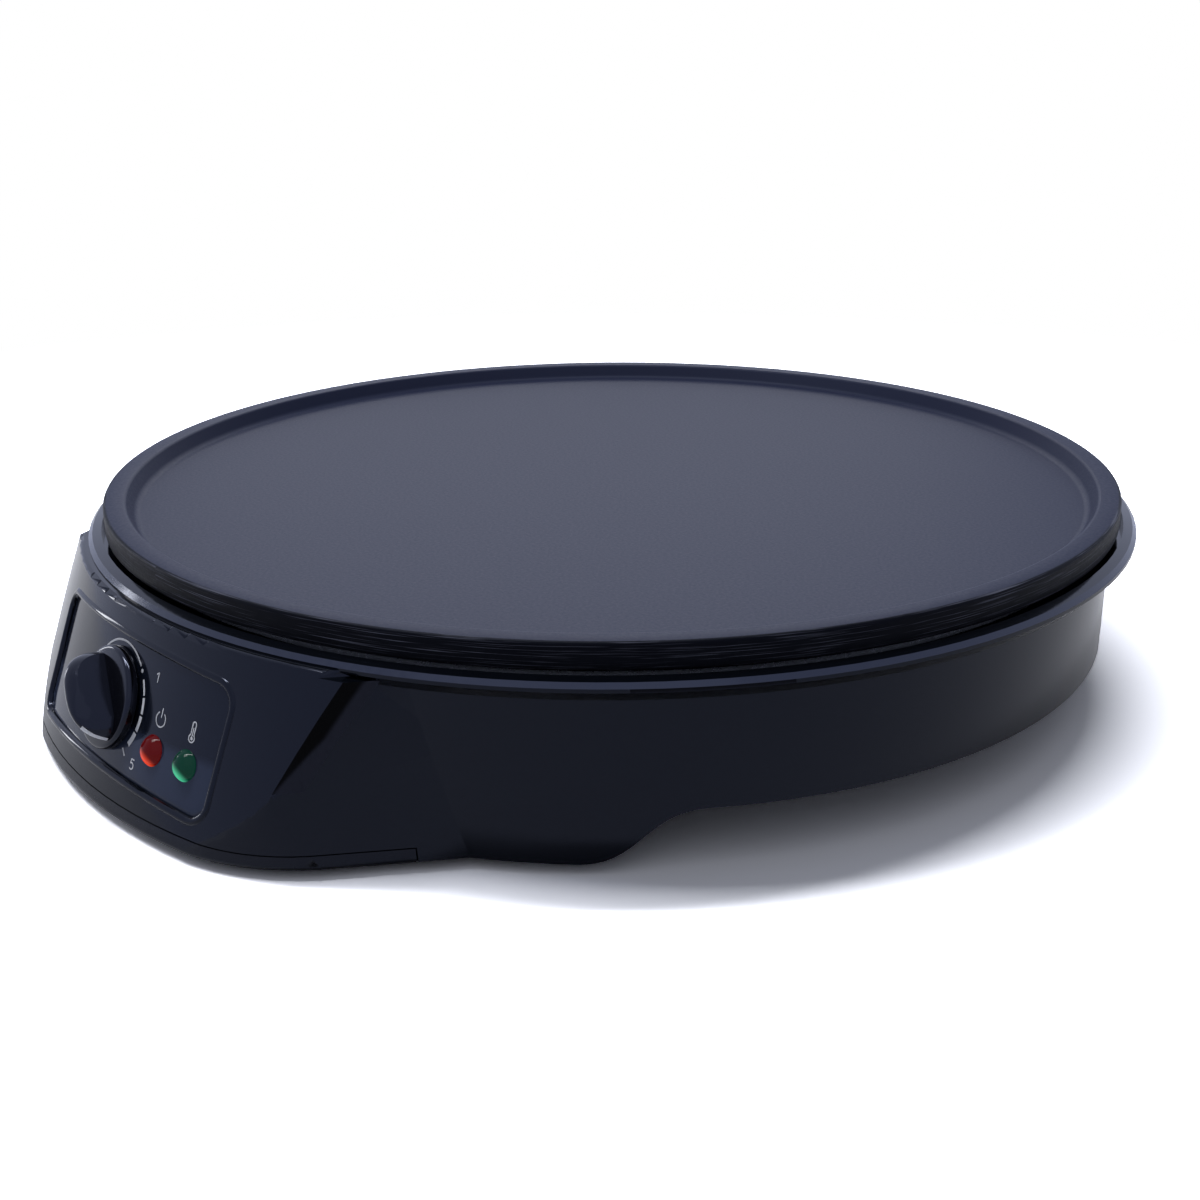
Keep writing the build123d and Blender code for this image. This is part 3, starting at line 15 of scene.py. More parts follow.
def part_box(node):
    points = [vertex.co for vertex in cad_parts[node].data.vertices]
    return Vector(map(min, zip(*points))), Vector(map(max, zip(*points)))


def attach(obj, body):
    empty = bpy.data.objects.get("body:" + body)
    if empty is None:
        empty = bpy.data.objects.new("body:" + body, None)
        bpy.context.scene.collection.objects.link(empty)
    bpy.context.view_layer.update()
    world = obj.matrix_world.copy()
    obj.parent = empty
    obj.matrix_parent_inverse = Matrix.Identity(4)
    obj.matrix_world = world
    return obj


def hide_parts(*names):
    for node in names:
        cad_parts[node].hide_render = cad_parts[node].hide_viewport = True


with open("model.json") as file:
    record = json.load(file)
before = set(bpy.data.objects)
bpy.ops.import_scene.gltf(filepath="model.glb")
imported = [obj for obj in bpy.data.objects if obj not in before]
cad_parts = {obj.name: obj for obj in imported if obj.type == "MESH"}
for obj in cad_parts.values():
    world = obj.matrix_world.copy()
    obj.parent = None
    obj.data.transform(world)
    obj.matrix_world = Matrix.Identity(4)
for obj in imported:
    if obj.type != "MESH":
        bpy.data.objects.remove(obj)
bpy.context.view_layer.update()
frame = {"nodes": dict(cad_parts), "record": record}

log = logging.getLogger("crepe_maker")

MM = 0.001
BODY = "body"
KNOB = "knob"
TURN = 2 * math.pi

Pair = tuple[float, float]
Triple = tuple[float, float, float]
Colour = tuple[float, float, float, float]
Row = tuple[str, str, dict]

plate_low, plate_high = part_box("cooking_plate")
AXIS_Y = (plate_low.y + plate_high.y) / 2
PLATE_AXIS = Vector((0.0, AXIS_Y, 0.0))


class Slot(Enum):
    """The material slots of the pieces made here."""

    SHELL = "black_gloss_plastic"
    COVER = "black_matte_plastic"
    PLATE = "coated_aluminium"
    PANEL = "panel_gloss"
    PRINT = "white_print"
    RED = "red_lens"
    GREEN = "green_lens"
    KNOB = "knob_plastic"


# ------------------------------------------------------------------ materials
def linear(hex_colour: str) -> Colour:
    """Turns an sRGB hex colour into linear light.

    Args:
        hex_colour: Six hex digits after a hash sign.

    Returns:
        Red, green, blue and an alpha of one.
    """
    parts = [int(hex_colour[i : i + 2], 16) / 255 for i in (1, 3, 5)]
    light = [p / 12.92 if p <= 0.04045 else ((p + 0.055) / 1.055) ** 2.4 for p in parts]
    return (light[0], light[1], light[2], 1.0)


def shade(colour: Colour, share: float) -> Colour:
    """Darkens or lightens a linear colour by a share."""
    return (colour[0] * share, colour[1] * share, colour[2] * share, 1.0)


def per_mm(size: float) -> float:
    """Gives the texture scale at which one pattern cell is as many millimetres as size."""
    return 1 / (size * MM)


# the setting that the second word of a node's kind gives
OPTIONS = {
    "MapRange": "interpolation_type",
    "Math": "operation",
    "Mix": "data_type",
    "VectorMath": "operation",
}


def add_nodes(tree: NodeTree, rows: Iterable[Row]) -> None:
    """Adds a node for each row, linked to the nodes of the rows before it.

    Args:
        tree: The node tree.
        rows: Each node's name, its kind and its inputs. An input is a constant, or
            names the output that is linked to it, such as "grain.Fac", or "tint.2"
            for the output with number 2.
    """
    for name, kind, inputs in rows:
        kind, _, option = kind.partition(" ")
        node = tree.nodes.new("ShaderNode" + kind)
        node.name = name
        if option:
            setattr(node, OPTIONS[kind], option)
        for socket, value in inputs.items():
            if isinstance(value, str):
                source, output = value.split(".")
                outputs = tree.nodes[source].outputs
                tree.links.new(outputs[int(output) if output.isdigit() else output], node.inputs[socket])
            else:
                node.inputs[socket].default_value = value


def grown(name: str, rows: Iterable[Row]) -> Material:
    """Makes a node material.

    Args:
        name: The material's name.
        rows: Its nodes. The one called shader is its surface.

    Returns:
        The material.
    """
    material = bpy.data.materials.new(name)
    material.use_nodes = True
    material.node_tree.nodes.clear()
    add_nodes(material.node_tree, [*rows, ("out", "OutputMaterial", {"Surface": "shader.0"})])
    return material


class NodeFinish:
    """A finish whose material is a tree of nodes."""

    name: str

    def rows(self) -> list[Row]:
        """Gives the finish's nodes. The last one is its shader."""
        raise NotImplementedError

    def build(self) -> Material:
        """Makes the node material."""
        return grown(self.name, self.rows())


# the values of a noise that a roughness follows
NOISE_SPAN = {"From Min": 0.3, "From Max": 0.7}

# what the shader of a finish with a grain takes from its other nodes
GRAINED = {"Base Color": "tint.2", "Roughness": "rough.0", "Normal": "bump.0"}

# a place's offsets from the plate's axis, and its distance from it
ABOUT_AXIS: tuple[Row, ...] = (
    ("place", "TexCoord", {}),
    ("centred", "Mapping", {"Vector": "place.Object", "Location": (0.0, -AXIS_Y, 0.0)}),
    ("parts", "SeparateXYZ", {"Vector": "centred.0"}),
    ("flat", "CombineXYZ", {"X": "parts.X", "Y": "parts.Y"}),
    ("reach", "VectorMath LENGTH", {0: "flat.0"}),
)


@dataclass(frozen=True)
class Finish(NodeFinish):
    """A moulded, cast, plated or woven finish with a fine grain.

    The grain drives a little of the colour, the roughness and the bump.
    """

    name: str
    colour: str
    roughness: float
    metallic: float = 0.0
    ior: float = 1.5
    grain_mm: float = 0.8
    relief_mm: float = 0.01
    tone: float = 0.12
    gloss_spread: float = 0.08
    stretch: Triple = (1.0, 1.0, 1.0)
    sheen_tint: str = "#ffffff"

    def rows(self) -> list[Row]:
        """Gives the finish's nodes.

        Returns:
            The nodes in order, the shader at the end.
        """
        base = linear(self.colour)
        dark, light = shade(base, 1 - self.tone), shade(base, 1 + self.tone)
        smoothest = max(0.02, self.roughness - self.gloss_spread)
        roughest = min(1.0, self.roughness + self.gloss_spread)
        grain = {"Scale": per_mm(self.grain_mm), "Detail": 3.0, "Roughness": 0.55}
        rough = {**NOISE_SPAN, "To Min": smoothest, "To Max": roughest}
        surface = {"Metallic": self.metallic, "IOR": self.ior, "Specular Tint": linear(self.sheen_tint)}
        return [
            ("place", "TexCoord", {}),
            ("stretched", "Mapping", {"Vector": "place.Object", "Scale": self.stretch}),
            ("grain", "TexNoise", {"Vector": "stretched.0", **grain}),
            ("tint", "Mix RGBA", {0: "grain.Fac", 6: dark, 7: light}),
            ("rough", "MapRange", {"Value": "grain.Fac", **rough}),
            ("bump", "Bump", {"Height": "grain.Fac", "Strength": 0.5, "Distance": self.relief_mm * MM}),
            ("shader", "BsdfPrincipled", {**GRAINED, **surface}),
        ]


@dataclass(frozen=True)
class NonStickCoating(NodeFinish):
    """Sprayed non-stick coating on cast aluminium.

    The eye sees an even blue-grey satin with a fine speckle on the cooking
    surface, and an outer edge painted near-black as shade, with fine bright turning scratches.
    """

    name: str = "nonstick_coated_aluminium"
    colour: str = "#1e2234"
    painted_edge_shade: str = "#020203"
    scratch_colour: str = "#5e6170"
    sheen_tint: str = "#ccd8ff"
    roughness: float = 0.46
    gloss_spread: float = 0.06
    tone: float = 0.06
    speckle_mm: float = 0.9
    relief_mm: float = 0.03
    edge_radius: float = 151.4
    edge_blend: float = 0.5
    scratch_length: float = 26.0
    scratch_pitch: float = 0.34

    def rows(self) -> list[Row]:
        """Gives the finish's nodes.

        Returns:
            The nodes in order, the shader at the end.
        """
        base = linear(self.colour)
        dark, light = shade(base, 1 - self.tone), shade(base, 1 + self.tone)
        speckle = {"Scale": per_mm(self.speckle_mm), "Detail": 4.0, "Roughness": 0.7}
        black, bright = linear(self.painted_edge_shade), linear(self.scratch_colour)
        edge = {"From Min": self.edge_radius * MM, "From Max": (self.edge_radius + self.edge_blend) * MM}
        smoothest, roughest = self.roughness - self.gloss_spread, self.roughness + self.gloss_spread
        rough = {**NOISE_SPAN, "To Min": smoothest, "To Max": roughest}
        return [
            *ABOUT_AXIS,
            ("speckle", "TexNoise", {"Vector": "centred.0", **speckle}),
            # the scratches run round the edge: long round the axis, close together in height
            ("turn", "Math ARCTAN2", {0: "parts.X", 1: "parts.Y"}),
            ("along", "Math MULTIPLY", {0: "turn.0", 1: self.edge_radius / self.scratch_length}),
            ("up", "Math MULTIPLY", {0: "parts.Z", 1: per_mm(self.scratch_pitch)}),
            ("track", "CombineXYZ", {"X": "along.0", "Y": "up.0"}),
            ("noise", "TexNoise", {"Vector": "track.0", "Scale": 1.0, "Detail": 2.0, "Roughness": 0.6}),
            ("scratches", "MapRange", {"Value": "noise.Fac", "From Min": 0.56, "From Max": 0.78}),
            # past the edge radius the colour turns to the painted shade of the outer edge, with its scratches
            ("side", "MapRange", {"Value": "reach.Value", **edge}),
            ("satin", "Mix RGBA", {0: "speckle.Fac", 6: dark, 7: light}),
            ("worn", "Mix RGBA", {0: "scratches.0", 6: black, 7: bright}),
            ("tint", "Mix RGBA", {0: "side.0", 6: "satin.2", 7: "worn.2"}),
            ("rough", "MapRange", {"Value": "speckle.Fac", **rough}),
            ("bump", "Bump", {"Height": "speckle.Fac", "Strength": 0.35, "Distance": self.relief_mm * MM}),
            ("shader", "BsdfPrincipled", {**GRAINED, "IOR": 1.17, "Specular Tint": linear(self.sheen_tint)}),
        ]


@dataclass(frozen=True)
class LensPlastic(NodeFinish):
    """Clear coloured acrylic of an indicator lens.

    The eye sees a deep colour in its middle and a bright crescent on one side,
    both painted glow that the unlit lens emits, and sharp glints on its polished dome.
    """

    name: str
    body: str
    deep: str
    glow: str
    # the fine ripple of the moulding, drawn at 1.6 mm so that it shows
    ripple_mm: float = 1.6
    # the direction that the painted crescent of glow faces
    painted_glow_aim: Triple = (-0.2, -0.82, -0.53)

    def rows(self) -> list[Row]:
        """Gives the finish's nodes.

        Returns:
            The nodes in order, the shader at the end.
        """
        scale = per_mm(self.ripple_mm)
        # the lens emits the tint below at full strength: painted glow, though it is no lamp
        surface = {"Base Color": linear(self.body), "Roughness": 0.03, "IOR": 1.2, "Emission Strength": 1.0}
        return [
            ("place", "TexCoord", {}),
            # painted glow: the emitted tint brightens to a crescent where the dome faces the aim
            ("gather", "VectorMath DOT_PRODUCT", {0: "place.Normal", 1: self.painted_glow_aim}),
            ("crescent", "MapRange SMOOTHSTEP", {"Value": "gather.Value", "From Min": 0.5, "From Max": 1.0}),
            ("tint", "Mix RGBA", {0: "crescent.0", 6: linear(self.deep), 7: linear(self.glow)}),
            ("ripple", "TexNoise", {"Vector": "place.Object", "Detail": 1.0, "Scale": scale}),
            ("bump", "Bump", {"Height": "ripple.Fac", "Strength": 0.1, "Distance": 0.03 * MM}),
            ("shader", "BsdfPrincipled", {"Emission Color": "tint.2", "Normal": "bump.0", **surface}),
        ]


@dataclass(frozen=True)
class InlayFilm(NodeFinish):
    """Polycarbonate film, printed dark on its back, over the moulded front.

    The eye sees a deep navy gloss that is paler towards its lower edge,
    where a reflection is painted into the colour.
    """

    name: str = "printed_polycarbonate_inlay"
    upper_colour: str = "#0c101a"
    lower_painted_reflection: str = "#272e40"
    sheen_tint: str = "#ccd8ff"
    grain_mm: float = 1.2
    break_height: float = 24.0
    break_width: float = 1.6

    def rows(self) -> list[Row]:
        """Gives the finish's nodes.

        Returns:
            The nodes in order, the shader at the end.
        """
        low, high = ((self.break_height + side * self.break_width) * MM for side in (-1, 1))
        surface = {"IOR": 1.3, "Specular Tint": linear(self.sheen_tint)}
        return [
            ("place", "TexCoord", {}),
            ("grain", "TexNoise", {"Vector": "place.Object", "Scale": per_mm(self.grain_mm), "Detail": 2.0}),
            ("parts", "SeparateXYZ", {"Vector": "place.Object"}),
            # painted reflection: below the break the colour pales towards the lower edge
            ("upper", "MapRange SMOOTHSTEP", {"Value": "parts.Z", "From Min": low, "From Max": high}),
            ("tint", "Mix RGBA", {0: "upper.0", 6: linear(self.lower_painted_reflection), 7: linear(self.upper_colour)}),
            ("rough", "MapRange", {"Value": "grain.Fac", "To Min": 0.06, "To Max": 0.12}),
            ("bump", "Bump", {"Height": "grain.Fac", "Strength": 0.3, "Distance": 0.003 * MM}),
            ("shader", "BsdfPrincipled", {**GRAINED, **surface}),
        ]


@dataclass(frozen=True)
class StepShadeAndGrain(NodeFinish):
    """Phenolic that keeps the mould's deep grain on the steps' upright walls, with shade painted on them.

    The eye sees a dead black band of painted shade along the front's edge,
    which narrows to nothing at the step's foot, and beside it the tone of the gloss black.
    """

    name: str = "grained_phenolic_painted_shade"
    painted_shade_colour: str = "#010102"
    pale_colour: str = "#262833"
    grain_mm: float = 0.6
    relief_mm: float = 0.03
    band_mm: float = 2.5
    blur_mm: float = 0.5
    foot_level: float = 21.0
    taper: float = 0.17

    def rows(self) -> list[Row]:
        """Gives the finish's nodes.

        Returns:
            The nodes in order, the shader at the end.
        """
        slope = -math.tan(math.radians(POD.lean))
        foot = -self.taper * self.foot_level * MM
        blur = {"From Min": -self.blur_mm * MM, "From Max": self.blur_mm * MM}
        return [
            *ABOUT_AXIS,
            # how deep a place lies behind the pod's leaning front
            ("front", "Math MULTIPLY_ADD", {0: "parts.Z", 1: slope, 2: POD.radius(0.0) * MM}),
            ("depth", "Math SUBTRACT", {0: "front.0", 1: "reach.Value"}),
            # the band's width at this height
            ("opened", "Math MULTIPLY_ADD", {0: "parts.Z", 1: self.taper, 2: foot}),
            ("width", "Math MINIMUM", {0: "opened.0", 1: self.band_mm * MM}),
            ("beyond", "Math SUBTRACT", {0: "depth.0", 1: "width.0"}),
            ("pale", "MapRange SMOOTHSTEP", {"Value": "beyond.0", **blur}),
            # painted shade: dead black within the band, the gloss black's tone beyond it
            ("tint", "Mix RGBA", {0: "pale.0", 6: linear(self.painted_shade_colour), 7: linear(self.pale_colour)}),
            ("grain", "TexNoise", {"Vector": "place.Object", "Scale": per_mm(self.grain_mm), "Detail": 3.0}),
            ("bump", "Bump", {"Height": "grain.Fac", "Strength": 0.4, "Distance": self.relief_mm * MM}),
            ("shader", "BsdfPrincipled", {**GRAINED, "Roughness": 0.6, "IOR": 1.12}),
        ]


@dataclass(frozen=True)
class BlackPlastic(Finish):
    """A black plastic from a smooth mould.

    The eye sees a near-black that mirrors its surroundings a little bluish.
    """

    ior: float = 1.33
    grain_mm: float = 1.2
    relief_mm: float = 0.003
    sheen_tint: str = "#d2dcff"


FINISHES: dict[str, NodeFinish] = {
    Slot.PLATE.value: NonStickCoating(),
    Slot.PANEL.value: InlayFilm(),
    # the lenses' deep middles and bright crescents are painted glow that they emit
    Slot.RED.value: LensPlastic("red_acrylic", "#200202", "#4c0303", "#f04420"),
    Slot.GREEN.value: LensPlastic("green_acrylic", "#021410", "#042e22", "#48c896"),
    # polished mould: soft clear reflections on near-black
    Slot.SHELL.value: BlackPlastic("gloss_black_phenolic", "#05070c", 0.1, grain_mm=1.6, gloss_spread=0.02),
    # lightly stoned mould: a little duller than the housing
    Slot.COVER.value: BlackPlastic("satin_black_polypropylene", "#06070b", 0.2),
    # polished compression moulding: the deepest black of the appliance
    Slot.KNOB.value: BlackPlastic("polished_black_phenolic", "#050508", 0.12, ior=1.4, gloss_spread=0.03),
    # flat ink: an even pale grey that takes no reflection
    Slot.PRINT.value: Finish("screen_printed_ink", "#c9ccd4", 0.5, grain_mm=0.5, tone=0.04),
    # bright bluish plating over pressed screws
    "zinc_steel": Finish("zinc_plated_steel", "#a9abb0", 0.3, metallic=1.0, grain_mm=0.7),
    # heater sheath browned by heat
    "element_sheath": Finish("oxidised_steel_sheath", "#5b5450", 0.45, metallic=1.0, grain_mm=1.2),
    # fired and unglazed: chalky cream
    "white_ceramic": Finish("steatite_ceramic", "#d9d2c3", 0.5, grain_mm=0.6),
    # rolled sheet, so its grain runs one way
    "plated_sheet": Finish("plated_sheet_steel", "#9c9da0", 0.34, metallic=1.0, stretch=(1, 6, 1)),
    # dipped sheet: a brighter, softly clouded metal
    "aluminised_sheet": Finish("aluminised_sheet_steel", "#b3b5b8", 0.3, metallic=1.0, grain_mm=1.8),
    # smooth bulb, warm from the electrodes behind it
    "lamp_glass": Finish("neon_lamp_glass", "#d9c3b0", 0.1, grain_mm=1.2),
    # uncoloured moulding: waxy ivory
    "natural_plastic": Finish("natural_nylon", "#c9c4b4", 0.45, grain_mm=0.8),
    # extruded sleeve: soft dull white
    "white_insulation": Finish("silicone_insulation", "#d0cfca", 0.55, grain_mm=0.5),
    # filled resin: dull dark brown
    "phenolic": Finish("brown_phenolic", "#3a2c24", 0.45, grain_mm=0.9),
    # drawn tube: clean warm metal
    "copper_tube": Finish("drawn_copper", "#b8735a", 0.3, metallic=1.0, grain_mm=1.5),
    # glazed body: creamy with a soft shine
    "fuse_case": Finish("glazed_ceramic_case", "#d3ccb8", 0.3, grain_mm=0.6),
    # woven glass sleeving: its threads are drawn 0.35 mm apart
    "brown_insulation": Finish("brown_glass_braid", "#4a2a1a", 0.7, grain_mm=0.35, relief_mm=0.08),
    "black_insulation": Finish("black_glass_braid", "#1a1a1c", 0.7, grain_mm=0.35, relief_mm=0.08),
    "blue_insulation": Finish("blue_glass_braid", "#1f4c9a", 0.7, grain_mm=0.35, relief_mm=0.08),
    "green_insulation": Finish("green_yellow_glass_braid", "#5d8a2c", 0.7, grain_mm=0.35, relief_mm=0.08),
    # soft, dull and slightly dusty
    "foot_rubber": Finish("moulded_nitrile_rubber", "#17171a", 0.7, grain_mm=0.7, relief_mm=0.03),
    "gland_rubber": Finish("moulded_pvc", "#141417", 0.55, grain_mm=0.7, relief_mm=0.02),
}

# rubbed bright by hands and cloths: it mirrors the lamps as a thin pale line
BURNISHED_EDGE = BlackPlastic(
    "burnished_black_phenolic", "#05070c", 0.16, ior=1.6, grain_mm=2.0, relief_mm=0.002, gloss_spread=0.04
)

# ledge down in the parting groove, made matte near-black as painted shade: it reads as a black line
PAINTED_SHADE_LEDGE = Finish("parting_groove_painted_shade", "#020203", 0.7, ior=1.1, grain_mm=0.6)


@dataclass
class Wardrobe:
    """Every finish, made once and handed to nodes and new pieces."""

    made: dict[str, Material] = field(default_factory=dict)

    def finish(self, slot: str) -> Material:
        """Gives a slot's material, making it on first use.

        Args:
            slot: The record's slot name.

        Returns:
            The slot's material.
        """
        if slot not in self.made:
            self.made[slot] = FINISHES[slot].build()
        return self.made[slot]

    def dress_nodes(self) -> None:
        """Gives every CAD node the finish of its slot."""
        for row in frame["record"]["subparts"]:
            mesh = frame["nodes"][row["node"]].data
            mesh.materials.clear()
            mesh.materials.append(self.finish(row["material_slot"]))


# ------------------------------------------------------------------ mesh tools
# how close corners lie, in metres, that become one: in drawn shapes and in CAD meshes
DRAWN_WELD = 1e-7
CAD_WELD = 2e-6
# the shortest edge that a CAD mesh keeps
CAD_SHORTEST = 1e-6


def shown(shape: BMesh, name: str, material: Material, sharp: float) -> Object:
    """Turns a shape into an object of the scene, smooth but for its sharp edges.

    Args:
        shape: The shape, in the shared frame. It is freed.
        name: The piece's name.
        material: The piece's finish.
        sharp: Angle in degrees from which an edge stays sharp.

    Returns:
        The new object, at the origin.
    """
    mesh = bpy.data.meshes.new(name)
    shape.to_mesh(mesh)
    shape.free()
    mesh.materials.append(material)
    mesh.shade_smooth()
    mesh.set_sharp_from_angle(angle=math.radians(sharp))
    piece = bpy.data.objects.new(name, mesh)
    bpy.context.scene.collection.objects.link(piece)
    return piece


def finished(shape: BMesh, name: str, material: Material, sharp: float = 30.0) -> Object:
    """Joins up a drawn shape, turns its faces outwards and shows it.

    Args:
        shape: The shape, in the shared frame. It is freed.
        name: The piece's name.
        material: The piece's finish.
        sharp: Angle in degrees from which an edge stays sharp.

    Returns:
        The new object, at the origin.
    """
    bmesh.ops.remove_doubles(shape, verts=shape.verts, dist=DRAWN_WELD)
    bmesh.ops.recalc_face_normals(shape, faces=shape.faces)
    return shown(shape, name, material, sharp)


def sweep(shape: BMesh, geom: list, centre: Vector, steps: int, angle: float = TURN) -> None:
    """Spins vertices and edges round the upright axis through a point.

    Args:
        shape: The shape.
        geom: The vertices and edges.
        centre: A point of the axis.
        steps: Divisions of the angle.
        angle: The angle in radians. A full turn is joined up.
    """
    bmesh.ops.spin(
        shape,
        geom=geom,
        cent=centre,
        axis=(0, 0, 1),
        dvec=(0, 0, 0),
        angle=angle,
        steps=steps,
        use_merge=angle == TURN,
        use_normal_flip=False,
        use_duplicate=False,
    )


def spun(shape: BMesh, outline: list[Pair], steps: int) -> None:
    """Adds an outline, spun about the shape's own upright axis.

    Args:
        shape: The shape.
        outline: Radius and height of each point, from the axis at the top to the
            axis at the bottom.
        steps: Divisions of the full turn.
    """
    points = [shape.verts.new((r, 0.0, z)) for r, z in outline]
    line = [shape.edges.new(pair) for pair in zip(points, points[1:])]
    sweep(shape, points + line, Vector(), steps)


def turned(profile: list[Triple], steps: int) -> BMesh:
    """Turns a profile about the plate's axis.

    Args:
        profile: Radius, height and corner rounding of each point, in millimetres,
            from the axis at the top to the axis at the bottom.
        steps: Divisions of the full turn.

    Returns:
        The closed shape, in metres.
    """
    shape = bmesh.new()
    points = [shape.verts.new((r * MM, AXIS_Y, z * MM)) for r, z, _ in profile]
    shape.faces.new(points)
    for point, (_, _, rounding) in zip(points, profile):
        if rounding > 0:
            bmesh.ops.bevel(
                shape,
                geom=[point],
                offset=rounding * MM,
                offset_type="OFFSET",
                affect="VERTICES",
                segments=4,
                profile=0.5,
                material=-1,
            )
    bmesh.ops.delete(shape, geom=list(shape.faces), context="FACES_ONLY")
    on_axis = [e for e in shape.edges if all(abs(v.co.x) < DRAWN_WELD for v in e.verts)]
    bmesh.ops.delete(shape, geom=on_axis, context="EDGES")
    sweep(shape, list(shape.verts) + list(shape.edges), PLATE_AXIS, steps)
    return shape


def aim(turn: float) -> Vector:
    """Gives the direction at an angle in radians, from x towards y."""
    return Vector((math.cos(turn), math.sin(turn), 0.0))


def seated(x_dir: Vector, y_dir: Vector, z_dir: Vector, place: Vector) -> Matrix:
    """Gives the 4 x 4 matrix of a frame with its axes and place."""
    matrix = Matrix((x_dir, y_dir, z_dir)).transposed().to_4x4()
    matrix.translation = place
    return matrix


def set_in(shape: BMesh, seat: Matrix) -> BMesh:
    """Moves a shape, drawn in millimetres in a seat's frame, to its place."""
    bmesh.ops.scale(shape, vec=(MM, MM, MM), verts=shape.verts)
    bmesh.ops.transform(shape, matrix=seat, verts=shape.verts)
    return shape


@dataclass(frozen=True)
class PodFront:
    """The pod's leaning conical front, in the plate's frame, in millimetres."""

    seam_radius: float = 176.2
    seam_height: float = 6.45
    lean: float = 20.4
    # rounds in which a place laid on the front comes to rest
    settling: int = 5

    def radius(self, height: float, inset: float = 0.0) -> float:
        """Gives the radius of the front, or of a layer inside it, at a height."""
        lean = math.radians(self.lean)
        return self.seam_radius - (height - self.seam_height) * math.tan(lean) - inset / math.cos(lean)

    def point(self, angle: float, height: float, inset: float = 0.0) -> Vector:
        """Gives a point of the front in metres, in the shared frame.

        Args:
            angle: Degrees round from the pod's middle, towards +X.
            height: Height in millimetres.
            inset: Depth below the surface in millimetres.

        Returns:
            The point.
        """
        turn = math.radians(angle)
        r = self.radius(height, inset)
        return PLATE_AXIS + Vector((r * math.sin(turn), -r * math.cos(turn), height)) * MM

    def basis(self, angle: float, height: float, inset: float = 0.0) -> Matrix:
        """Gives a frame on the front: x round, y up the slope, z outwards.

        Args:
            angle: Degrees round from the pod's middle.
            height: Height in millimetres.
            inset: Depth below the surface in millimetres.

        Returns:
            The frame as a 4 x 4 matrix in metres.
        """
        turn = math.radians(angle)
        lean = math.radians(self.lean)
        z_dir = Vector((math.sin(turn) * math.cos(lean), -math.cos(turn) * math.cos(lean), math.sin(lean)))
        return seated(aim(turn), z_dir.cross(aim(turn)), z_dir, self.point(angle, height, inset))

    def wrapped(self, place: Vector, height: float) -> Vector:
        """Lays a place of a flat layout on the front, along the layout's normal.

        Args:
            place: Right, up and outwards from the layout's middle, in millimetres.
            height: Height of the layout's middle in millimetres.

        Returns:
            The place in metres, in the shared frame.
        """
        lean = math.radians(self.lean)
        level = height
        turn = 0.0
        for _ in range(self.settling):
            turn = math.asin(place.x / self.radius(level))
            bulge = self.radius(level) * (1 - math.cos(turn))
            level = height + (place.y - bulge * math.sin(lean)) * math.cos(lean)
        return self.point(math.degrees(turn), level, -place.z)

    def wrap(self, shape: BMesh, height: float) -> BMesh:
        """Lays a flat layout, drawn in millimetres, on the front.

        Args:
            shape: The layout: x to the right, y up and z outwards.
            height: Height of the layout's middle in millimetres.

        Returns:
            The same shape, in metres in the shared frame.
        """
        for vert in shape.verts:
            vert.co = self.wrapped(vert.co, height)
        return shape


POD = PodFront()

# the panel's film lies this deep in the front, and the dial's middle this high
FILM_INSET = 0.8
DIAL_HEIGHT = 28.4
# where the pointer rests, in degrees clockwise from the top
POINTER_REST = 134.7


# a face is level when its normal leans out less than this
LEVEL_LEAN = 0.02
# a face is turned about the plate's axis when it faces out, or in, within these degrees
FACING_WITHIN = 5.0


def even_turned_shading(mesh: Mesh, sharp: float) -> None:
    """Gives the surfaces that are turned about the plate's axis their true normals.

    Each corner's normal gets its direction round the axis from its own place,
    and its slope from the turned faces that meet there, the larger ones first.

    Args:
        mesh: A joined-up mesh with its sharp edges set.
        sharp: Angle in degrees from which two slopes stay apart.
    """
    facing = math.cos(math.radians(FACING_WITHIN))
    normals = [corner.vector.copy() for corner in mesh.corner_normals]
    meeting: dict[int, dict[int, float]] = {}
    turned_corners: list[tuple[int, int, float]] = []
    for face in mesh.polygons:
        out = Vector((face.center.x, face.center.y - AXIS_Y)).normalized()
        flat = Vector((face.normal.x, face.normal.y))
        if flat.length >= LEVEL_LEAN and abs(flat.normalized().dot(out)) < facing:
            continue
        slope = math.degrees(math.atan2(face.normal.z, flat.dot(out)))
        for corner in face.loop_indices:
            vert = mesh.loops[corner].vertex_index
            slopes = meeting.setdefault(vert, {})
            slopes[round(slope)] = slopes.get(round(slope), 0.0) + face.area
            turned_corners.append((corner, vert, slope))
    for corner, vert, slope in turned_corners:
        near = {s: area for s, area in meeting[vert].items() if abs(s - slope) < sharp}
        blended = math.radians(sum(s * area for s, area in near.items()) / sum(near.values()))
        if len(near) == 1:
            blended = math.radians(slope)
        out = Vector((mesh.vertices[vert].co.x, mesh.vertices[vert].co.y - AXIS_Y)).normalized()
        normals[corner] = Vector((out.x * math.cos(blended), out.y * math.cos(blended), math.sin(blended)))
    mesh.normals_split_custom_set(normals)


def smoothed_copy(node: str, name: str, material: Material, sharp: float) -> Object:
    """Copies a CAD node's mesh, joined up and smoothly shaded, to stand for the node.

    Args:
        node: The CAD node.
        name: The new piece's name.
        material: The piece's finish.
        sharp: Angle in degrees from which an edge stays sharp.

    Returns:
        The copy.
    """
    shape = bmesh.new()
    shape.from_mesh(frame["nodes"][node].data)
    bmesh.ops.remove_doubles(shape, verts=shape.verts, dist=CAD_WELD)
    bmesh.ops.dissolve_degenerate(shape, edges=shape.edges, dist=CAD_SHORTEST)
    piece = shown(shape, name, material, sharp)
    even_turned_shading(piece.data, sharp)
    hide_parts(node)
    return piece


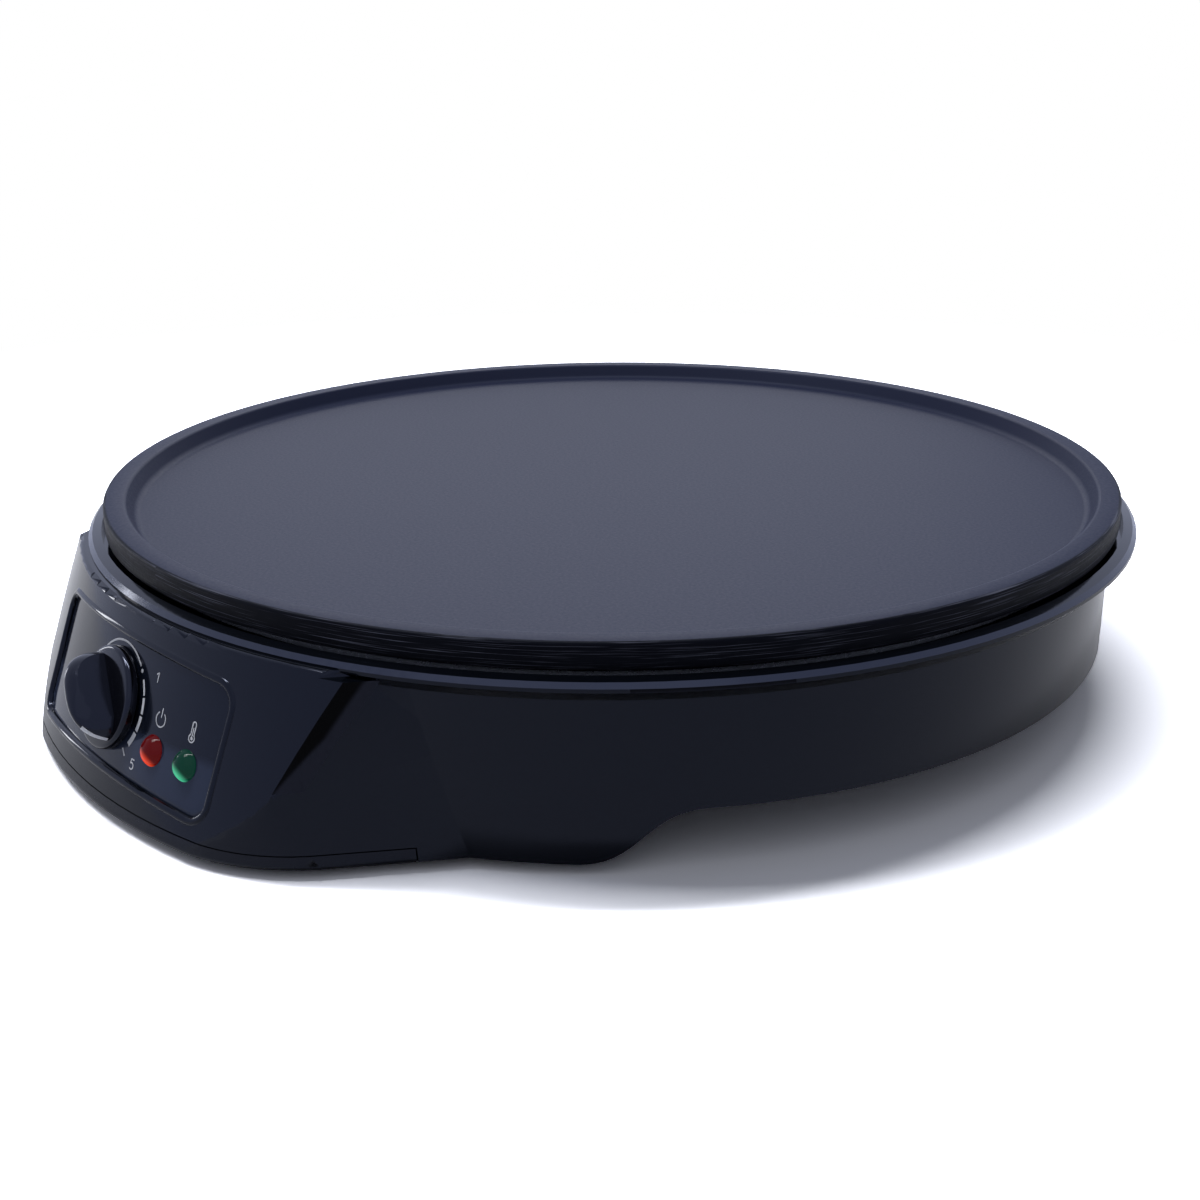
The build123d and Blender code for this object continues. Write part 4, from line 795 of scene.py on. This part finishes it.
@dataclass(frozen=True)
class RoundedOutline:
    """A rounded rectangle, drawn in millimetres round its own middle."""

    width: float
    height: float
    corner: float
    arc_steps: int = 8
    across_steps: int = 36
    upright_steps: int = 14
    sheet_columns: int = 96
    sheet_rows: int = 40

    def places(self, growth: float) -> list[Vector]:
        """Gives the outline's points.

        Args:
            growth: How far they lie outside the outline.

        Returns:
            The points, from the right side round by the top.
        """
        corner = self.corner + growth
        points: list[Vector] = []
        for quarter, (side, rise) in enumerate(((1, 1), (-1, 1), (-1, -1), (1, -1))):
            middle = Vector((side * (self.width / 2 - self.corner), rise * (self.height / 2 - self.corner)))
            arc = []
            for i in range(self.arc_steps + 1):
                turn = math.pi / 2 * (quarter + i / self.arc_steps)
                arc.append(middle + Vector((math.cos(turn), math.sin(turn))) * corner)
            points += self.run(points, arc, quarter) + arc
        return points + self.run(points, points[:1], 4)

    def run(self, before: list[Vector], after: list[Vector], quarter: int) -> list[Vector]:
        """Gives the points inside the straight run that leads to an arc.

        Args:
            before: The points so far.
            after: The points that follow the run.
            quarter: Number of the arc that follows.

        Returns:
            The points, none before the first arc.
        """
        if not before:
            return []
        steps = self.across_steps if quarter % 2 == 1 else self.upright_steps
        return [before[-1].lerp(after[0], i / steps) for i in range(1, steps)]

    def loop(self, shape: BMesh, growth: float, level: float) -> list[BMVert]:
        """Adds the outline to a shape as a loop.

        Args:
            shape: The shape.
            growth: How far the loop lies outside the outline.
            level: The loop's height over the layout's plane.

        Returns:
            The loop's vertices.
        """
        places = self.places(growth)
        verts = bmesh.ops.create_circle(shape, cap_ends=False, segments=len(places), radius=1.0)["verts"]
        for vert, place in zip(verts, places):
            vert.co = (place.x, place.y, level)
        return list(verts)

    def sheet(self, shape: BMesh, level: float) -> None:
        """Adds the filled outline to a shape as a fine grid.

        Args:
            shape: The shape.
            level: The grid's height over the layout's plane.
        """
        grid = bmesh.ops.create_grid(
            shape, x_segments=self.sheet_columns, y_segments=self.sheet_rows, size=0.5
        )["verts"]
        bmesh.ops.scale(shape, vec=(self.width, self.height, 1.0), verts=grid)
        for vert in grid:
            over_x = abs(vert.co.x) - (self.width / 2 - self.corner)
            over_y = abs(vert.co.y) - (self.height / 2 - self.corner)
            vert.co.z = level
            if over_x > 0 and over_y > 0:
                share = max(over_x, over_y) / math.hypot(over_x, over_y)
                vert.co.x -= math.copysign(over_x * (1 - share), vert.co.x)
                vert.co.y -= math.copysign(over_y * (1 - share), vert.co.y)


def stack(shape: BMesh, loops: list[list[BMVert]]) -> None:
    """Joins each loop of vertices to the next with a band of faces.

    Args:
        shape: The shape.
        loops: The loops in order.
    """
    for first, second in zip(loops, loops[1:]):
        pair = (set(first), set(second))
        edges = {e for verts in pair for v in verts for e in v.link_edges if set(e.verts) <= verts}
        bmesh.ops.bridge_loops(shape, edges=list(edges))


# ------------------------------------------------------------------ pieces
@dataclass
class CookingPlate:
    """The cast plate with its raised rim, turned about the vertical axis."""

    radius: float = 152.5
    top: float = 60.5
    floor: float = 55.8
    rim_bottom: float = 53.5
    underside: float = 52.3
    core_bottom: float = 50.8
    rim_inner: float = 146.2
    wall_foot: float = 143.6
    rim_wall: float = 2.6
    rim_step: float = 1.0
    rim_shelf: float = 6.0
    core_radius: float = 130.0
    core_draft: float = 1.3
    steps: int = 288

    def profile(self) -> list[Triple]:
        """Gives the plate's outline.

        Returns:
            Radius, height and corner rounding of each point.
        """
        wall = self.radius - self.rim_wall
        return [
            (0.0, self.floor, 0.0),
            (self.wall_foot, self.floor, 1.4),
            (self.rim_inner, self.top, 0.7),
            (self.radius, self.top, 0.9),
            (self.radius, self.rim_bottom, 0.5),
            (wall, self.rim_bottom, 0.3),
            (wall, self.rim_bottom + self.rim_step, 0.0),
            (self.radius - self.rim_shelf, self.underside, 0.0),
            (self.core_radius, self.underside, 0.0),
            (self.core_radius - self.core_draft, self.core_bottom, 0.0),
            (0.0, self.core_bottom, 0.0),
        ]

    def build(self, wardrobe: Wardrobe) -> Object:
        """Builds the plate and lets it stand for its CAD node.

        Args:
            wardrobe: The finishes.

        Returns:
            The plate.
        """
        piece = finished(turned(self.profile(), self.steps), "plate_body", wardrobe.finish(Slot.PLATE.value))
        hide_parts("cooking_plate")
        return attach(piece, BODY)


@dataclass
class Housing:
    """The moulded housing and its base cover, joined up from their CAD solids."""

    sharp: float = 19.0
    flank_angle: float = 31.5
    step_reach: float = 151.5
    step_low: float = 20.0
    step_high: float = 51.0
    step_facing: float = 0.992
    rim_reach: float = 155.0
    rim_low: float = 51.2
    # how far up the faces look: least and most on the rounded edge, least on a ledge
    rim_rise: Pair = (0.7, 0.93)
    ledge_rise: float = 0.5

    def on_rim(self, reach: float, level: float, normal: Vector) -> bool:
        """Tells whether a face belongs to the flange's rounded outer edge."""
        least, most = self.rim_rise
        return reach > self.rim_reach and level > self.rim_low and least < normal.z < most

    def on_step(self, reach: float, level: float, normal: Vector) -> bool:
        """Tells whether a face is an upright wall of the steps beside the pod's front.

        Args:
            reach: Its distance from the plate's axis in millimetres.
            level: Its height in millimetres.
            normal: Its normal.

        Returns:
            Whether it is.
        """
        turn = math.radians(self.flank_angle)
        across = abs(normal.x) * math.cos(turn) - normal.y * math.sin(turn)
        beside = reach > self.step_reach and self.step_low < level < self.step_high
        return beside and across > self.step_facing

    def on_ledge(self, _reach: float, _level: float, normal: Vector) -> bool:
        """Tells whether a face is one of the base cover's upward ledges."""
        return normal.z > self.ledge_rise

    def patch(self, piece: Object, finish: NodeFinish, test: Callable[[float, float, Vector], bool]) -> None:
        """Gives some of a moulding's faces a finish of their own.

        Args:
            piece: The moulding.
            finish: The finish.
            test: Picks a face by its distance from the plate's axis and its height,
                both in millimetres, and its normal.
        """
        mesh = piece.data
        mesh.materials.append(finish.build())
        for face in mesh.polygons:
            reach = math.hypot(face.center.x, face.center.y - AXIS_Y) / MM
            if test(reach, face.center.z / MM, face.normal):
                face.material_index = len(mesh.materials) - 1

    def build(self, wardrobe: Wardrobe) -> Object:
        """Builds both mouldings.

        Args:
            wardrobe: The finishes.

        Returns:
            The upper moulding.
        """
        for node, name, slot in (
            ("base_cover", "base_moulding", Slot.COVER),
            ("upper_shell", "housing_moulding", Slot.SHELL),
        ):
            piece = smoothed_copy(node, name, wardrobe.finish(slot.value), self.sharp)
            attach(piece, BODY)
            if slot is Slot.COVER:
                # the base cover's upward ledges get painted shade
                self.patch(piece, PAINTED_SHADE_LEDGE, self.on_ledge)
        # the steps' upright walls get a band of painted shade
        self.patch(piece, StepShadeAndGrain(), self.on_step)
        self.patch(piece, BURNISHED_EDGE, self.on_rim)
        return piece


@dataclass
class ControlPanel:
    """The inlay film in its recess, and the raised bead round it."""

    outline: RoundedOutline = RoundedOutline(92.4, 33.5, 5.0)
    gap: float = 0.15
    centre: float = 28.7
    face_inset: float = FILM_INSET
    thickness: float = 0.8
    bead_sharp: float = 50.0
    # the bead's section: distance from the recess and height over the front
    bead: tuple[Pair, ...] = (
        (0.0, -0.7),
        (0.0, -0.1),
        (0.12, 0.22),
        (0.4, 0.42),
        (0.85, 0.5),
        (1.3, 0.42),
        (1.65, 0.22),
        (1.9, -0.03),
        (1.9, -0.5),
        (0.0, -0.7),
    )

    def bezel(self) -> BMesh:
        """Draws the bead as bands between loops round the recess.

        Returns:
            The bead on the front.
        """
        shape = bmesh.new()
        stack(shape, [self.outline.loop(shape, growth, level) for growth, level in self.bead])
        return POD.wrap(shape, self.centre)

    def inlay(self) -> BMesh:
        """Draws the film, which follows the front's curve.

        Returns:
            The film on the front.
        """
        recess = self.outline
        inner = RoundedOutline(
            recess.width - 2 * self.gap, recess.height - 2 * self.gap, recess.corner - self.gap
        )
        shape = bmesh.new()
        inner.sheet(shape, -self.face_inset)
        POD.wrap(shape, self.centre)
        bmesh.ops.solidify(shape, geom=list(shape.faces), thickness=self.thickness * MM)
        return shape

    def build(self, wardrobe: Wardrobe) -> Object:
        """Builds the bead and the film.

        Args:
            wardrobe: The finishes.

        Returns:
            The film, which stands for its CAD node.
        """
        bezel = finished(self.bezel(), "panel_bezel", wardrobe.finish(Slot.SHELL.value), self.bead_sharp)
        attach(bezel, BODY)
        film = finished(self.inlay(), "panel_film", wardrobe.finish(Slot.PANEL.value))
        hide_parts("control_panel")
        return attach(film, BODY)


@dataclass(frozen=True)
class Sign:
    """A small sign of fine lines, measured in millimetres from its own middle."""

    # degrees round from the pod's middle, and height
    place: Pair
    # right, up, radius, start and stop in degrees from the top
    arcs: tuple[tuple[float, ...], ...] = ()
    # right and up of one end, right and up of the other
    strokes: tuple[tuple[float, ...], ...] = ()
    # right, up and radius
    dots: tuple[tuple[float, ...], ...] = ()


POWER = Sign((8.0, 29.5), arcs=((0.0, 0.0, 1.9, 32.0, 328.0),), strokes=((0.0, 0.5, 0.0, 2.9),))
THERMOMETER = Sign(
    (12.4, 29.5),
    arcs=((0.0, -1.3, 1.0, 38.0, 322.0), (0.0, 2.2, 0.6, -90.0, 90.0)),
    strokes=((-0.6, -0.5, -0.6, 2.2), (0.6, -0.5, 0.6, 2.2), (0.0, -1.3, 0.0, 1.4)),
    dots=((0.0, -1.3, 0.45),),
)
ONE = Sign((6.3, 38.4), strokes=((0.35, -1.3, 0.35, 1.3), (0.35, 1.2, -0.5, 0.6)))
FIVE = Sign(
    (5.3, 16.4),
    arcs=((-0.05, -0.45, 0.82, -48.0, 225.0),),
    strokes=((-0.6, 1.3, 0.75, 1.3), (-0.55, 1.35, -0.65, 0.1)),
)


@dataclass
class DialPrint:
    """The panel's thin white print, laid on the film."""

    axis_height: float = DIAL_HEIGHT
    face_level: float = -0.74
    ring_radius: float = 15.0
    ring_line: float = 0.5
    ring_end: float = 41.0
    dot_place: float = 46.0
    bars_start: float = 54.0
    bars_stop: float = 126.0
    bar_count: int = 4
    bar_gap: float = 2.4
    bar_growth: float = 0.22
    low_stop: float = -135.0
    end_mark: float = POINTER_REST
    end_mark_span: Pair = (14.4, 16.6)
    fine_line: float = 0.3
    ink: float = 0.05
    arc_step: float = 3.0
    arc_least: int = 6
    dot_sides: int = 20
    signs: tuple[Sign, ...] = (POWER, THERMOMETER, ONE, FIVE)

    def arc(self, shape: BMesh, middle: tuple, radius: float, line: float, start: float, stop: float) -> None:
        """Adds an arc of print, clockwise from the top in degrees.

        Args:
            shape: The layout.
            middle: The arc's middle.
            radius: Its middle line's radius.
            line: Its width.
            start: Where it starts.
            stop: Where it ends.
        """
        out = aim(math.radians(90 - start))
        origin = Vector((middle[0], middle[1], self.face_level))
        ends = [shape.verts.new(origin + out * (radius + offset)) for offset in (-line / 2, line / 2)]
        edge = shape.edges.new(ends)
        steps = max(self.arc_least, int((stop - start) / self.arc_step))
        sweep(shape, ends + [edge], origin, steps, -math.radians(stop - start))

    def stroke(self, shape: BMesh, start: tuple, stop: tuple, line: float) -> None:
        """Adds a straight stroke.

        Args:
            shape: The layout.
            start: Where it starts.
            stop: Where it ends.
            line: Its width.
        """
        first, last = Vector(start), Vector(stop)
        run = last - first
        patch = bmesh.ops.create_grid(shape, x_segments=4, y_segments=1, size=0.5)["verts"]
        bmesh.ops.scale(shape, vec=(run.length, line, 1.0), verts=patch)
        turn = Matrix.Rotation(math.atan2(run.y, run.x), 3, "Z")
        bmesh.ops.rotate(shape, cent=(0, 0, 0), matrix=turn, verts=patch)
        middle = (first + last) / 2
        bmesh.ops.translate(shape, vec=(middle.x, middle.y, self.face_level), verts=patch)

    def dot(self, shape: BMesh, x: float, y: float, radius: float) -> None:
        """Adds a filled dot."""
        dot = bmesh.ops.create_circle(shape, cap_ends=True, segments=self.dot_sides, radius=radius)["verts"]
        bmesh.ops.translate(shape, vec=(x, y, self.face_level), verts=dot)

    def dial(self, shape: BMesh) -> None:
        """Adds the ring, its dot, the widening bars and the end mark.

        Args:
            shape: The layout.
        """
        centre = (0.0, 0.0)
        self.arc(shape, centre, self.ring_radius, self.ring_line, self.low_stop, self.ring_end)
        dot = aim(math.radians(90 - self.dot_place)) * self.ring_radius
        self.dot(shape, dot.x, dot.y, self.ring_line)
        step = (self.bars_stop - self.bars_start) / self.bar_count
        for i in range(self.bar_count):
            start = self.bars_start + i * step
            line = self.ring_line + self.bar_growth * (i + 1)
            ends = (start + self.bar_gap / 2, start + step - self.bar_gap / 2)
            self.arc(shape, centre, self.ring_radius, line, *ends)
        mark = aim(math.radians(90 - self.end_mark)).xy
        inner, outer = (tuple(mark * reach) for reach in self.end_mark_span)
        self.stroke(shape, inner, outer, self.ring_line)

    def sign(self, shape: BMesh, sign: Sign) -> None:
        """Adds a sign at its place.

        Args:
            shape: The layout.
            sign: The sign.
        """
        x, y = self.layout_place(*sign.place)
        for right, up, radius, start, stop in sign.arcs:
            self.arc(shape, (x + right, y + up), radius, self.fine_line, start, stop)
        for x1, y1, x2, y2 in sign.strokes:
            self.stroke(shape, (x + x1, y + y1), (x + x2, y + y2), self.fine_line)
        for right, up, radius in sign.dots:
            self.dot(shape, x + right, y + up, radius)

    def build(self, wardrobe: Wardrobe) -> Object:
        """Builds the print, which stands for its CAD node.

        Args:
            wardrobe: The finishes.

        Returns:
            The print.
        """
        shape = bmesh.new()
        self.dial(shape)
        for sign in self.signs:
            self.sign(shape, sign)
        POD.wrap(shape, self.axis_height)
        bmesh.ops.solidify(shape, geom=list(shape.faces), thickness=self.ink * MM)
        piece = finished(shape, "dial_print", wardrobe.finish(Slot.PRINT.value))
        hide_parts("dial_marks")
        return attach(piece, BODY)

    def layout_place(self, angle: float, height: float) -> Pair:
        """Gives the layout's place of an angle round the front and a height.

        Args:
            angle: Degrees round from the pod's middle.
            height: Height in millimetres.

        Returns:
            Right and up, in millimetres.
        """
        lean = math.radians(POD.lean)
        turn = math.radians(angle)
        bulge = POD.radius(height) * (1 - math.cos(turn))
        up = (height - self.axis_height) / math.cos(lean) + bulge * math.sin(lean)
        return POD.radius(height) * math.sin(turn), up


@dataclass
class ThermostatKnob:
    """Round skirt and crested grip, with a let-in pointer at the grip's nose."""

    axis_height: float = DIAL_HEIGHT
    face_inset: float = FILM_INSET
    pointer_turn: float = POINTER_REST
    skirt_radius: float = 13.4
    skirt_bottom: float = 0.5
    skirt_top: float = 3.2
    skirt_round: float = 1.1
    # the skirt's rounding, as shares of its radius at 30 and 60 degrees
    round_shares: Pair = (0.13, 0.5)
    skirt_steps: int = 144
    # how deep the grip runs into the skirt
    grip_sink: float = 0.4
    rim_round: float = 0.45
    crest_length: float = 12.6
    crest_height: float = 13.0
    crest_power: float = 2.7
    flank_length: float = 9.2
    flank_height: float = 11.0
    flank_shift: float = -1.2
    flank_half: float = 3.25
    foot_half: float = 4.5
    crest_bend: float = 1.7
    slices: int = 9
    steps: int = 160
    sharp: float = 40.0
    stripe_width: float = 1.3
    stripe_low: float = 3.8
    stripe_high: float = 10.3
    stripe_lift: float = 0.05
    stripe_depth: float = 0.12
    stripe_cells: tuple[int, int] = (28, 4)

    def seat(self) -> Matrix:
        """Gives the knob's own frame: x along the grip's nose, z off the panel."""
        turn = Matrix.Rotation(math.radians(90.0 - self.pointer_turn), 4, "Z")
        return POD.basis(0.0, self.axis_height, self.face_inset) @ turn

    def crest_point(self, turn: float, share: float) -> Vector:
        """Gives a point of the crest band.

        Args:
            turn: Way round the grip's side view in radians, from its nose up.
            share: From 0 on the crest's line to 1 at the flank's edge.

        Returns:
            The point in the knob's frame, in millimetres.
        """
        fall = share**self.crest_bend
        length = self.crest_length + (self.flank_length - self.crest_length) * fall
        height = self.crest_height + (self.flank_height - self.crest_height) * fall
        power = 2 / self.crest_power
        c, s = math.cos(turn), math.sin(turn)
        x = self.flank_shift * fall + length * math.copysign(abs(c) ** power, c)
        z = height * math.copysign(abs(s) ** power, s)
        spread = (self.foot_half - self.flank_half) * max(0.0, 1 - max(z, self.skirt_top) / self.flank_height)
        return Vector((x, (self.flank_half + spread) * share, z))

    def grip(self) -> BMesh:
        """Draws the grip as slices from flank to flank, and caps the flanks.

        Returns:
            The grip in the knob's frame, in millimetres, cut off inside the skirt.
        """
        shape = bmesh.new()
        rings = []
        for i in range(-self.slices, self.slices + 1):
            ring = bmesh.ops.create_circle(shape, cap_ends=False, segments=self.steps, radius=1.0)["verts"]
            for vert in ring:
                turn = math.atan2(vert.co.y, vert.co.x)
                point = self.crest_point(turn, abs(i) / self.slices)
                vert.co = Vector((point.x, math.copysign(point.y, i), point.z))
            rings.append(ring)
        for first, second in zip(rings, rings[1:]):
            edges = [e for e in shape.edges if set(e.verts) <= set(first) or set(e.verts) <= set(second)]
            bmesh.ops.bridge_loops(shape, edges=edges)
        for ring in (rings[0], rings[-1]):
            shape.faces.new(ring)
        rim = [e for e in shape.edges if any(len(f.verts) > 4 for f in e.link_faces)]
        bmesh.ops.bevel(
            shape,
            geom=rim,
            offset=self.rim_round,
            affect="EDGES",
            segments=3,
            profile=0.5,
            material=-1,
            clamp_overlap=True,
        )
        bmesh.ops.bisect_plane(
            shape,
            geom=list(shape.verts) + list(shape.edges) + list(shape.faces),
            plane_co=(0, 0, self.skirt_top - self.grip_sink),
            plane_no=(0, 0, 1),
            clear_inner=True,
        )
        bmesh.ops.holes_fill(shape, edges=[e for e in shape.edges if e.is_boundary])
        return shape

    def skirt(self, shape: BMesh) -> None:
        """Adds the round skirt, spun about the knob's axis.

        Args:
            shape: The shape.
        """
        edge, top = self.skirt_radius, self.skirt_top
        little, much = (share * self.skirt_round for share in self.round_shares)
        outline = [
            (0.0, top),
            (edge - self.skirt_round, top),
            (edge - much, top - little),
            (edge - little, top - much),
            (edge, top - self.skirt_round),
            (edge, self.skirt_bottom),
            (0.0, self.skirt_bottom),
        ]
        spun(shape, outline, self.skirt_steps)

    def stripe(self) -> BMesh:
        """Draws the pointer: a thin white strip over the crest at the nose.

        Returns:
            The strip in the knob's frame, in millimetres.
        """
        shape = bmesh.new()
        along, across = self.stripe_cells
        bmesh.ops.create_grid(shape, x_segments=along, y_segments=across, size=0.5)
        power = 2 / self.crest_power
        low = math.asin((self.stripe_low / self.crest_height) ** (1 / power))
        high = math.asin((self.stripe_high / self.crest_height) ** (1 / power))
        half = self.stripe_width / 2
        for vert in shape.verts:
            turn = low + (vert.co.x + 0.5) * (high - low)
            side = vert.co.y * 2
            point = self.crest_point(turn, abs(side) * half / self.foot_half)
            outwards = Vector((math.cos(turn), 0.0, math.sin(turn)))
            vert.co = Vector((point.x, side * half, point.z)) + outwards * self.stripe_lift
        bmesh.ops.solidify(shape, geom=list(shape.faces), thickness=self.stripe_depth)
        return shape

    def build(self, wardrobe: Wardrobe) -> Object:
        """Builds the knob and its pointer, which stand for their CAD nodes.

        Args:
            wardrobe: The finishes.

        Returns:
            The knob.
        """
        shape = self.grip()
        self.skirt(shape)
        seat = self.seat()
        knob = finished(set_in(shape, seat), "knob_grip", wardrobe.finish(Slot.KNOB.value), self.sharp)
        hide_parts("thermostat_knob")
        pointer = finished(set_in(self.stripe(), seat), "knob_stripe", wardrobe.finish(Slot.PRINT.value))
        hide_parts("knob_pointer")
        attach(pointer, KNOB)
        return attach(knob, KNOB)


@dataclass
class IndicatorLens:
    """A domed lens on its stem, let into the panel."""

    name: str
    node: str
    slot: str
    angle: float
    height: float = 21.8
    face_inset: float = FILM_INSET
    radius: float = 4.0
    dome: float = 2.6
    stem: float = 3.1
    stem_length: float = 7.0
    sink: float = 0.05
    dome_steps: int = 16
    steps: int = 72
    sharp: float = 50.0

    def build(self, wardrobe: Wardrobe) -> Object:
        """Builds the lens.

        Args:
            wardrobe: The finishes.

        Returns:
            The lens.
        """
        ball = (self.radius**2 + self.dome**2) / (2 * self.dome)
        widest = math.asin(self.radius / ball)
        outline = []
        for i in range(self.dome_steps + 1):
            turn = widest * i / self.dome_steps
            outline.append((ball * math.sin(turn), self.dome - ball + ball * math.cos(turn)))
        outline += [(self.radius, -self.sink), (self.stem, -self.sink)]
        outline += [(self.stem, -self.stem_length), (0.0, -self.stem_length)]
        shape = bmesh.new()
        spun(shape, outline, self.steps)
        set_in(shape, POD.basis(self.angle, self.height, self.face_inset))
        lens = finished(shape, self.name, wardrobe.finish(self.slot), self.sharp)
        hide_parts(self.node)
        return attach(lens, BODY)


# ------------------------------------------------------------------ studio
@dataclass(frozen=True)
class Lamp:
    """A soft oblong lamp, in metres and watts, which the camera doesn't see."""

    name: str
    place: Triple
    size: Pair
    power: float
    aim: Triple = (0.0, 0.0, 0.0)
    run: Triple = (0.64, 0.77, 0.0)

    def hang(self) -> None:
        """Hangs the lamp so that it faces its aim, with its length along its run."""
        data = bpy.data.lights.new(self.name, "AREA")
        data.shape = "RECTANGLE"
        data.size, data.size_y = self.size
        data.energy = self.power
        lamp = bpy.data.objects.new(self.name, data)
        bpy.context.scene.collection.objects.link(lamp)
        back = (Vector(self.place) - Vector(self.aim)).normalized()
        side = (Vector(self.run) - back * Vector(self.run).dot(back)).normalized()
        lamp.matrix_world = seated(side, back.cross(side), back, Vector(self.place))
        lamp.visible_camera = False


@dataclass
class Studio:
    """Floor, soft lamps, surroundings and camera."""

    floor_size: float = 14.0
    floor_colour: str = "#e2e4ec"
    # how much brighter the camera sees the paper than the object does
    paper_gain: float = 2.9
    shadow_reach: float = 0.62
    shadow_full: float = 0.6
    # the white that mirrors show, the white that the camera sees, and the soft light
    mirrored: str = "#dbe3ff"
    plain: str = "#ffffff"
    sky: str = "#f1f4ff"
    sky_strength: float = 0.12
    lens: float = 48.0
    sensor: float = 36.0
    nearest: float = 0.01
    camera_place: Triple = (369.466, -312.223, 192.173)
    right: Triple = (0.641632, 0.766977, -0.007411)
    up: Triple = (-0.259837, 0.226443, 0.938727)
    forward: Triple = (-0.721661, 0.600391, -0.344582)
    lamps: tuple[Lamp, ...] = (
        Lamp("overhead_strip", (-0.14, 0.02, 1.45), (1.1, 0.12), 12.0),
        Lamp("left_key", (-0.45, -0.5, 1.5), (0.5, 0.5), 9.0),
        Lamp("side_strip", (-1.35, -0.6, 0.28), (0.5, 0.14), 2.0, (0.0, 0.0, 0.03), (0.0, 0.0, 1.0)),
        Lamp("front_fill", (0.8, -0.9, 1.3), (1.6, 1.6), 1.4),
        Lamp("rear_sheen", (-0.65, 0.5, 0.5), (0.7, 0.3), 1.6, (0.0, 0.0, 0.06)),
    )

    def camera(self) -> None:
        """Places the camera."""
        data = bpy.data.cameras.new("camera")
        data.lens = self.lens
        data.sensor_width = self.sensor
        data.clip_start = self.nearest
        camera = bpy.data.objects.new("camera", data)
        bpy.context.scene.collection.objects.link(camera)
        place = PLATE_AXIS + Vector(self.camera_place) * MM
        camera.matrix_world = seated(Vector(self.right), Vector(self.up), -Vector(self.forward), place)
        bpy.context.scene.camera = camera

    def white_rows(self) -> list[Row]:
        """Gives the nodes that floor and surroundings share.

        Returns:
            The ray's kind, whether it is the camera's or a mirror's, and its white.
        """
        cool, plain = linear(self.mirrored), linear(self.plain)
        return [
            ("ray", "LightPath", {}),
            ("seen", "Math MAXIMUM", {0: "ray.Is Camera Ray", 1: "ray.Is Glossy Ray"}),
            ("white", "Mix RGBA", {0: "ray.Is Camera Ray", 6: cool, 7: plain}),
        ]

    def floor(self) -> None:
        """Lays the pale floor, which shows white but keeps the object's shadow."""
        shape = bmesh.new()
        bmesh.ops.create_grid(shape, x_segments=1, y_segments=1, size=self.floor_size / 2)
        paper = linear(self.floor_colour)
        fade = {"From Min": self.shadow_reach * self.shadow_full, "From Max": self.shadow_reach}
        bright = shade(paper, self.paper_gain)
        rows = [
            *self.white_rows(),
            ("place", "TexCoord", {}),
            ("reach", "VectorMath LENGTH", {0: "place.Object"}),
            ("far", "MapRange SMOOTHSTEP", {"Value": "reach.Value", **fade}),
            ("share", "Math MULTIPLY", {0: "far.0", 1: "seen.0"}),
            ("tone", "Mix RGBA", {0: "ray.Is Camera Ray", 6: paper, 7: bright}),
            ("near", "BsdfDiffuse", {"Color": "tone.2"}),
            ("glow", "Emission", {"Color": "white.2", "Strength": 1.0}),
            ("shader", "MixShader", {0: "share.0", 1: "near.0", 2: "glow.0"}),
        ]
        floor = finished(shape, "floor", grown("matte_white_paper", rows))

    def surroundings(self) -> None:
        """Sets the white surroundings and their soft light."""
        world = bpy.data.worlds.new("studio_world")
        bpy.context.scene.world = world
        world.use_nodes = True
        world.node_tree.nodes.clear()
        rows = [
            *self.white_rows(),
            ("share", "Math MAXIMUM", {0: "seen.0", 1: "ray.Is Transmission Ray"}),
            ("soft", "Background", {"Color": linear(self.sky), "Strength": self.sky_strength}),
            ("clear", "Background", {"Color": "white.2", "Strength": 1.0}),
            ("mixed", "MixShader", {0: "share.0", 1: "soft.0", 2: "clear.0"}),
            ("out", "OutputWorld", {"Surface": "mixed.0"}),
        ]
        add_nodes(world.node_tree, rows)

    def build(self) -> None:
        """Builds the whole studio."""
        bpy.context.scene.view_settings.view_transform = "Standard"
        self.camera()
        self.floor()
        self.surroundings()
        for lamp in self.lamps:
            lamp.hang()


# ------------------------------------------------------------------ main
def main() -> None:
    """Builds the studio and every piece, and reports them."""
    logging.basicConfig(level=logging.INFO)
    Studio().build()
    wardrobe = Wardrobe()
    wardrobe.dress_nodes()
    makers = (
        CookingPlate(),
        Housing(),
        ControlPanel(),
        DialPrint(),
        ThermostatKnob(),
        IndicatorLens("lens_red", "power_lens", Slot.RED.value, 7.7),
        IndicatorLens("lens_green", "ready_lens", Slot.GREEN.value, 12.2),
    )
    for maker in makers:
        piece = maker.build(wardrobe)
        log.info("built %s", piece.name)


if __name__ == "__main__":
    main()
